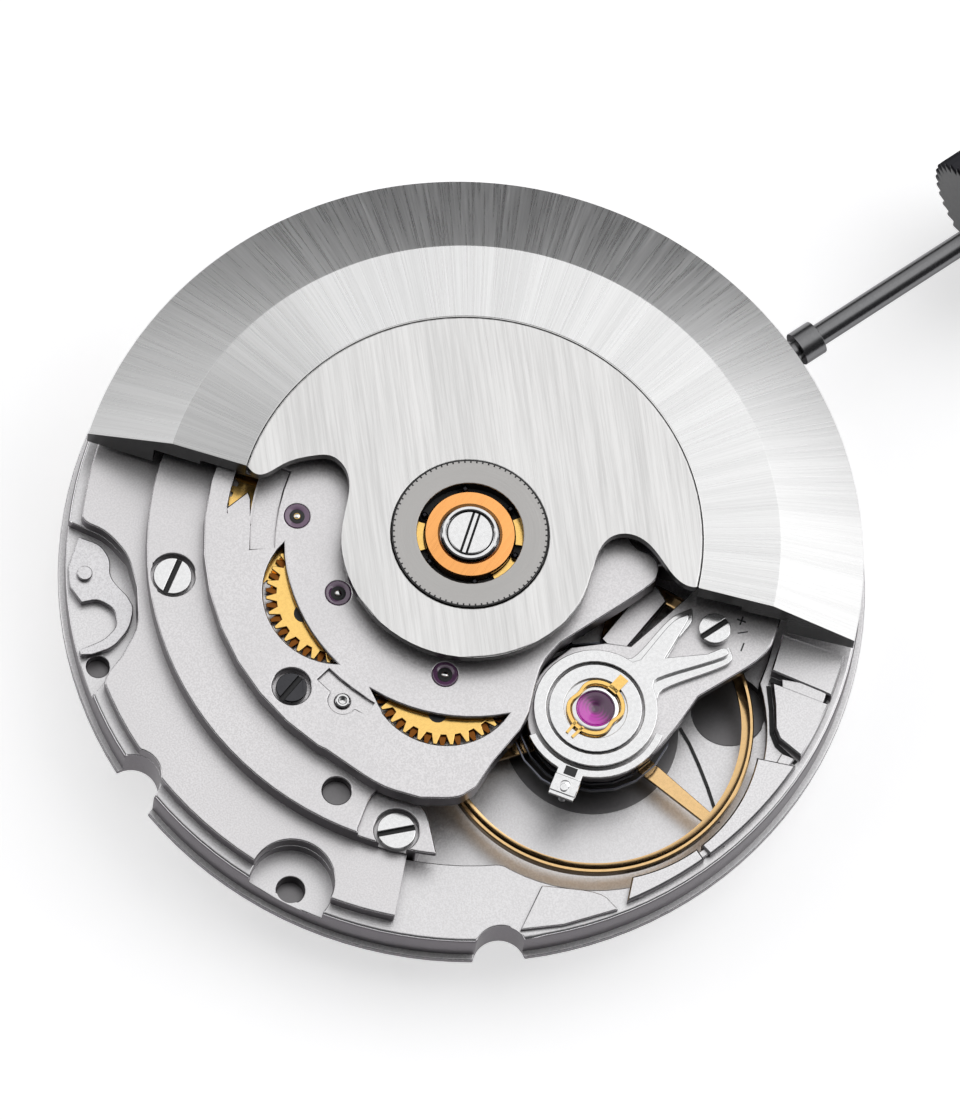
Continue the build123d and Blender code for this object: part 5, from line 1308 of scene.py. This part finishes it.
@dataclass
class Wheels:
    """Every wheel, pinion and lever of the trains."""

    metals: Metals
    upper_bevel: float = 0.03
    lower_bevel: float = 0.015
    reversers: tuple[tuple[str, Point, float], ...] = (
        ("first_upper_reverser", (-4.413, 0.986), 174.0), ("second_upper_reverser", (-3.195, -3.2), 224.5),
    )
    opening_count: int = 5
    opening_reach: float = 1.28
    opening_shade: Band = (0.0, 0.3, 3.215, 3.224)

    def build(self) -> None:
        """Paints or finishes every wheel."""
        metals = self.metals
        for node in ("reverser_upper_a", "reverser_upper_b"):
            bevelled(node, self.upper_bevel, metals.gold)
        # The lower wheels take gold darkened by painted shade.
        for node in ("reverser_lower_a", "reverser_lower_b"):
            bevelled(node, self.lower_bevel, metals.shaded_gold)
        # Painted shade: dark discs over the upper wheels' hub openings.
        for body, centre, turn in self.reversers:
            places = [polar(self.opening_reach, turn + 360 / self.opening_count * k, centre)
                      for k in range(self.opening_count)]
            spots = joined(ring(self.opening_shade, 24, centre_mm=at) for at in places)
            settled(spots, f"{body}_opening_shades", body, "reverser_gold", metals.mark)
        painted(metals.gold, "reduction_wheel", "driver_wheel")
        painted(metals.brass, "barrel_drum", "centre_wheel", "third_wheel", "seconds_wheel", "hour_wheel",
                "minute_wheel", "date_idler", "date_wheel")
        painted(metals.steel, "pallet_fork", "escape_wheel")
        painted(metals.lever, "ratchet_wheel", "crown_wheel", "click", "barrel_arbor", "winding_pinion",
                "sliding_pinion", "setting_lever", "yoke", "setting_wheel", "cannon_pinion", "date_jumper")
        painted(metals.spring, "mainspring")
        painted(metals.stone, "pallet_stones")
        painted(metals.white, "date_ring")


@dataclass
class StemAndCrown:
    """The winding stem and its crown."""

    metals: Metals
    stem_bevel: float = 0.03
    crown_bevel: float = 0.08

    def build(self) -> None:
        """Finishes the stem and the crown."""
        bevelled("winding_stem", self.stem_bevel, self.metals.stem)
        bevelled("crown", self.crown_bevel, self.metals.dark)


@dataclass
class Studio:
    """Camera, lamp, floor and surroundings."""

    focal_px: float = 27089.8
    image_height_px: float = 1120.0
    sensor_mm: float = 36.0
    clip_range: Point = (0.01, 10.0)
    elevation_deg: float = 68.66
    roll_deg: float = 9.96
    stem_azimuth_deg: float = 44.79
    aim_right_mm: float = 0.596
    aim_up_mm: float = 0.755
    distance_mm: float = 871.164
    floor_z_mm: float = -1.78
    floor_reach: float = 1.2
    floor_rough: float = 0.9
    floor_lift: float = 0.5
    floor_colours: tuple[Triple, Triple] = ((0.88, 0.88, 0.89), (0.91, 0.91, 0.92))
    floor_grain_per_m: float = 400.0
    dark_level: float = 0.07
    dark_blue: float = 1.04
    bright_level: float = 0.95
    least_height: float = 0.04
    strip_front: Point = (-0.4, 0.12)
    strip_far: Point = (0.8, 2.6)
    key_place: Triple = (455.0, -40.0, 470.0)
    key_size: float = 640.0
    key_watts: float = 0.85

    def camera(self) -> None:
        """Places the camera at the photograph's angle."""
        elevation = math.radians(self.elevation_deg)
        roll = math.radians(self.roll_deg)
        back = Vector((0, -math.cos(elevation), math.sin(elevation)))
        level_up = Vector((0, math.sin(elevation), math.cos(elevation)))
        level_right = Vector((1, 0, 0))
        right = math.cos(roll) * level_right + math.sin(roll) * level_up
        up = -math.sin(roll) * level_right + math.cos(roll) * level_up
        centre = (right * self.aim_right_mm + up * self.aim_up_mm + back * self.distance_mm) * MM
        turn = Matrix.Rotation(-math.radians(self.stem_azimuth_deg), 3, "Z")
        pose = Matrix((turn @ right, turn @ up, turn @ back)).transposed().to_4x4()
        pose.translation = turn @ centre
        data = bpy.data.cameras.new("photo_camera")
        data.sensor_width = self.sensor_mm
        data.sensor_fit = "AUTO"
        data.lens = self.focal_px * self.sensor_mm / self.image_height_px
        data.clip_start, data.clip_end = self.clip_range
        camera = linked("photo_camera", data)
        camera.matrix_world = pose
        bpy.context.scene.camera = camera

    def lamp(self) -> None:
        """Adds one square soft lamp that faces the movement."""
        data = bpy.data.lights.new("key_soft", "AREA")
        data.size = self.key_size * MM
        data.energy = self.key_watts
        place = Vector(self.key_place) * MM
        pose = Matrix.Translation(place) @ place.to_track_quat("Z", "Y").to_matrix().to_4x4()
        linked("key_soft", data).matrix_world = pose

    def world(self) -> None:
        """Sets a wide bright strip overhead that falls off to a dark front and a dark far side."""
        world = bpy.data.worlds.new("studio")
        bpy.context.scene.world = world
        bench = Bench("studio", world)
        x, y, z = bench.parts(bench.node("ShaderNodeTexCoord", {}, {}, "Generated"))
        away = toward(x, y, 90 - self.stem_azimuth_deg)
        lean = away / bench.node("ShaderNodeMath", {"operation": "MAXIMUM"}, {0: z, 1: self.least_height})
        strip = lean.ramp(*self.strip_front) * (1 - lean.ramp(*self.strip_far))
        dark = rgba((self.dark_level, self.dark_level, self.dark_level * self.dark_blue))
        bright = rgba((self.bright_level,) * 3)
        light = {"Color": bench.blend(strip, dark, bright), "Strength": 1.0}
        shade = bench.node("ShaderNodeBackground", {}, light)
        bench.tree.links.new(shade.source, bench.end.inputs[0])

    def floor(self) -> None:
        """Adds the plain white floor, which keeps the movement's shadow."""
        bm = bmesh.new()
        bmesh.ops.create_grid(bm, x_segments=1, y_segments=1, size=self.floor_reach)
        moved(bm, (*ORIGIN, self.floor_z_mm))
        mesh = mesh_of(bm, "studio_floor")
        bench = Bench("floor_paper")
        grain = bench.noise(bench.place(), self.floor_grain_per_m)
        colour = bench.blend(grain, *(rgba(colour) for colour in self.floor_colours))
        kinds = ("Camera", "Glossy", "Transmission")
        rays = [bench.node("ShaderNodeLightPath", {}, {}, f"Is {kind} Ray") for kind in kinds]
        seen = (rays[0] + rays[1] + rays[2]).ramp(0.0, 1.0)
        glow = bench.blend(seen, (0, 0, 0, 1), rgba((self.floor_lift,) * 3))
        paper = bench.surface(colour, self.floor_rough, 0.0, fixed={"Emission Strength": 1.0}, glow=glow)
        mesh.materials.append(paper)
        linked("studio_floor", mesh)

    def build(self) -> None:
        """Builds the studio."""
        self.camera()
        self.world()
        self.floor()
        self.lamp()
        bpy.context.scene.view_settings.view_transform = "Standard"


def main() -> None:
    """Builds the movement piece by piece and then the studio."""
    logging.basicConfig(level=logging.INFO, format="%(message)s")
    metals = Metals()
    makers = [WindingWeight(metals), WeightBearing(metals), CaseWork(metals), Jewels(metals), Balance(metals),
              SteadyPin(metals), Wheels(metals), StemAndCrown(metals), Studio()]
    for maker in makers:
        maker.build()
        log.info("finished %s", type(maker).__name__)


if __name__ == "__main__":
    main()
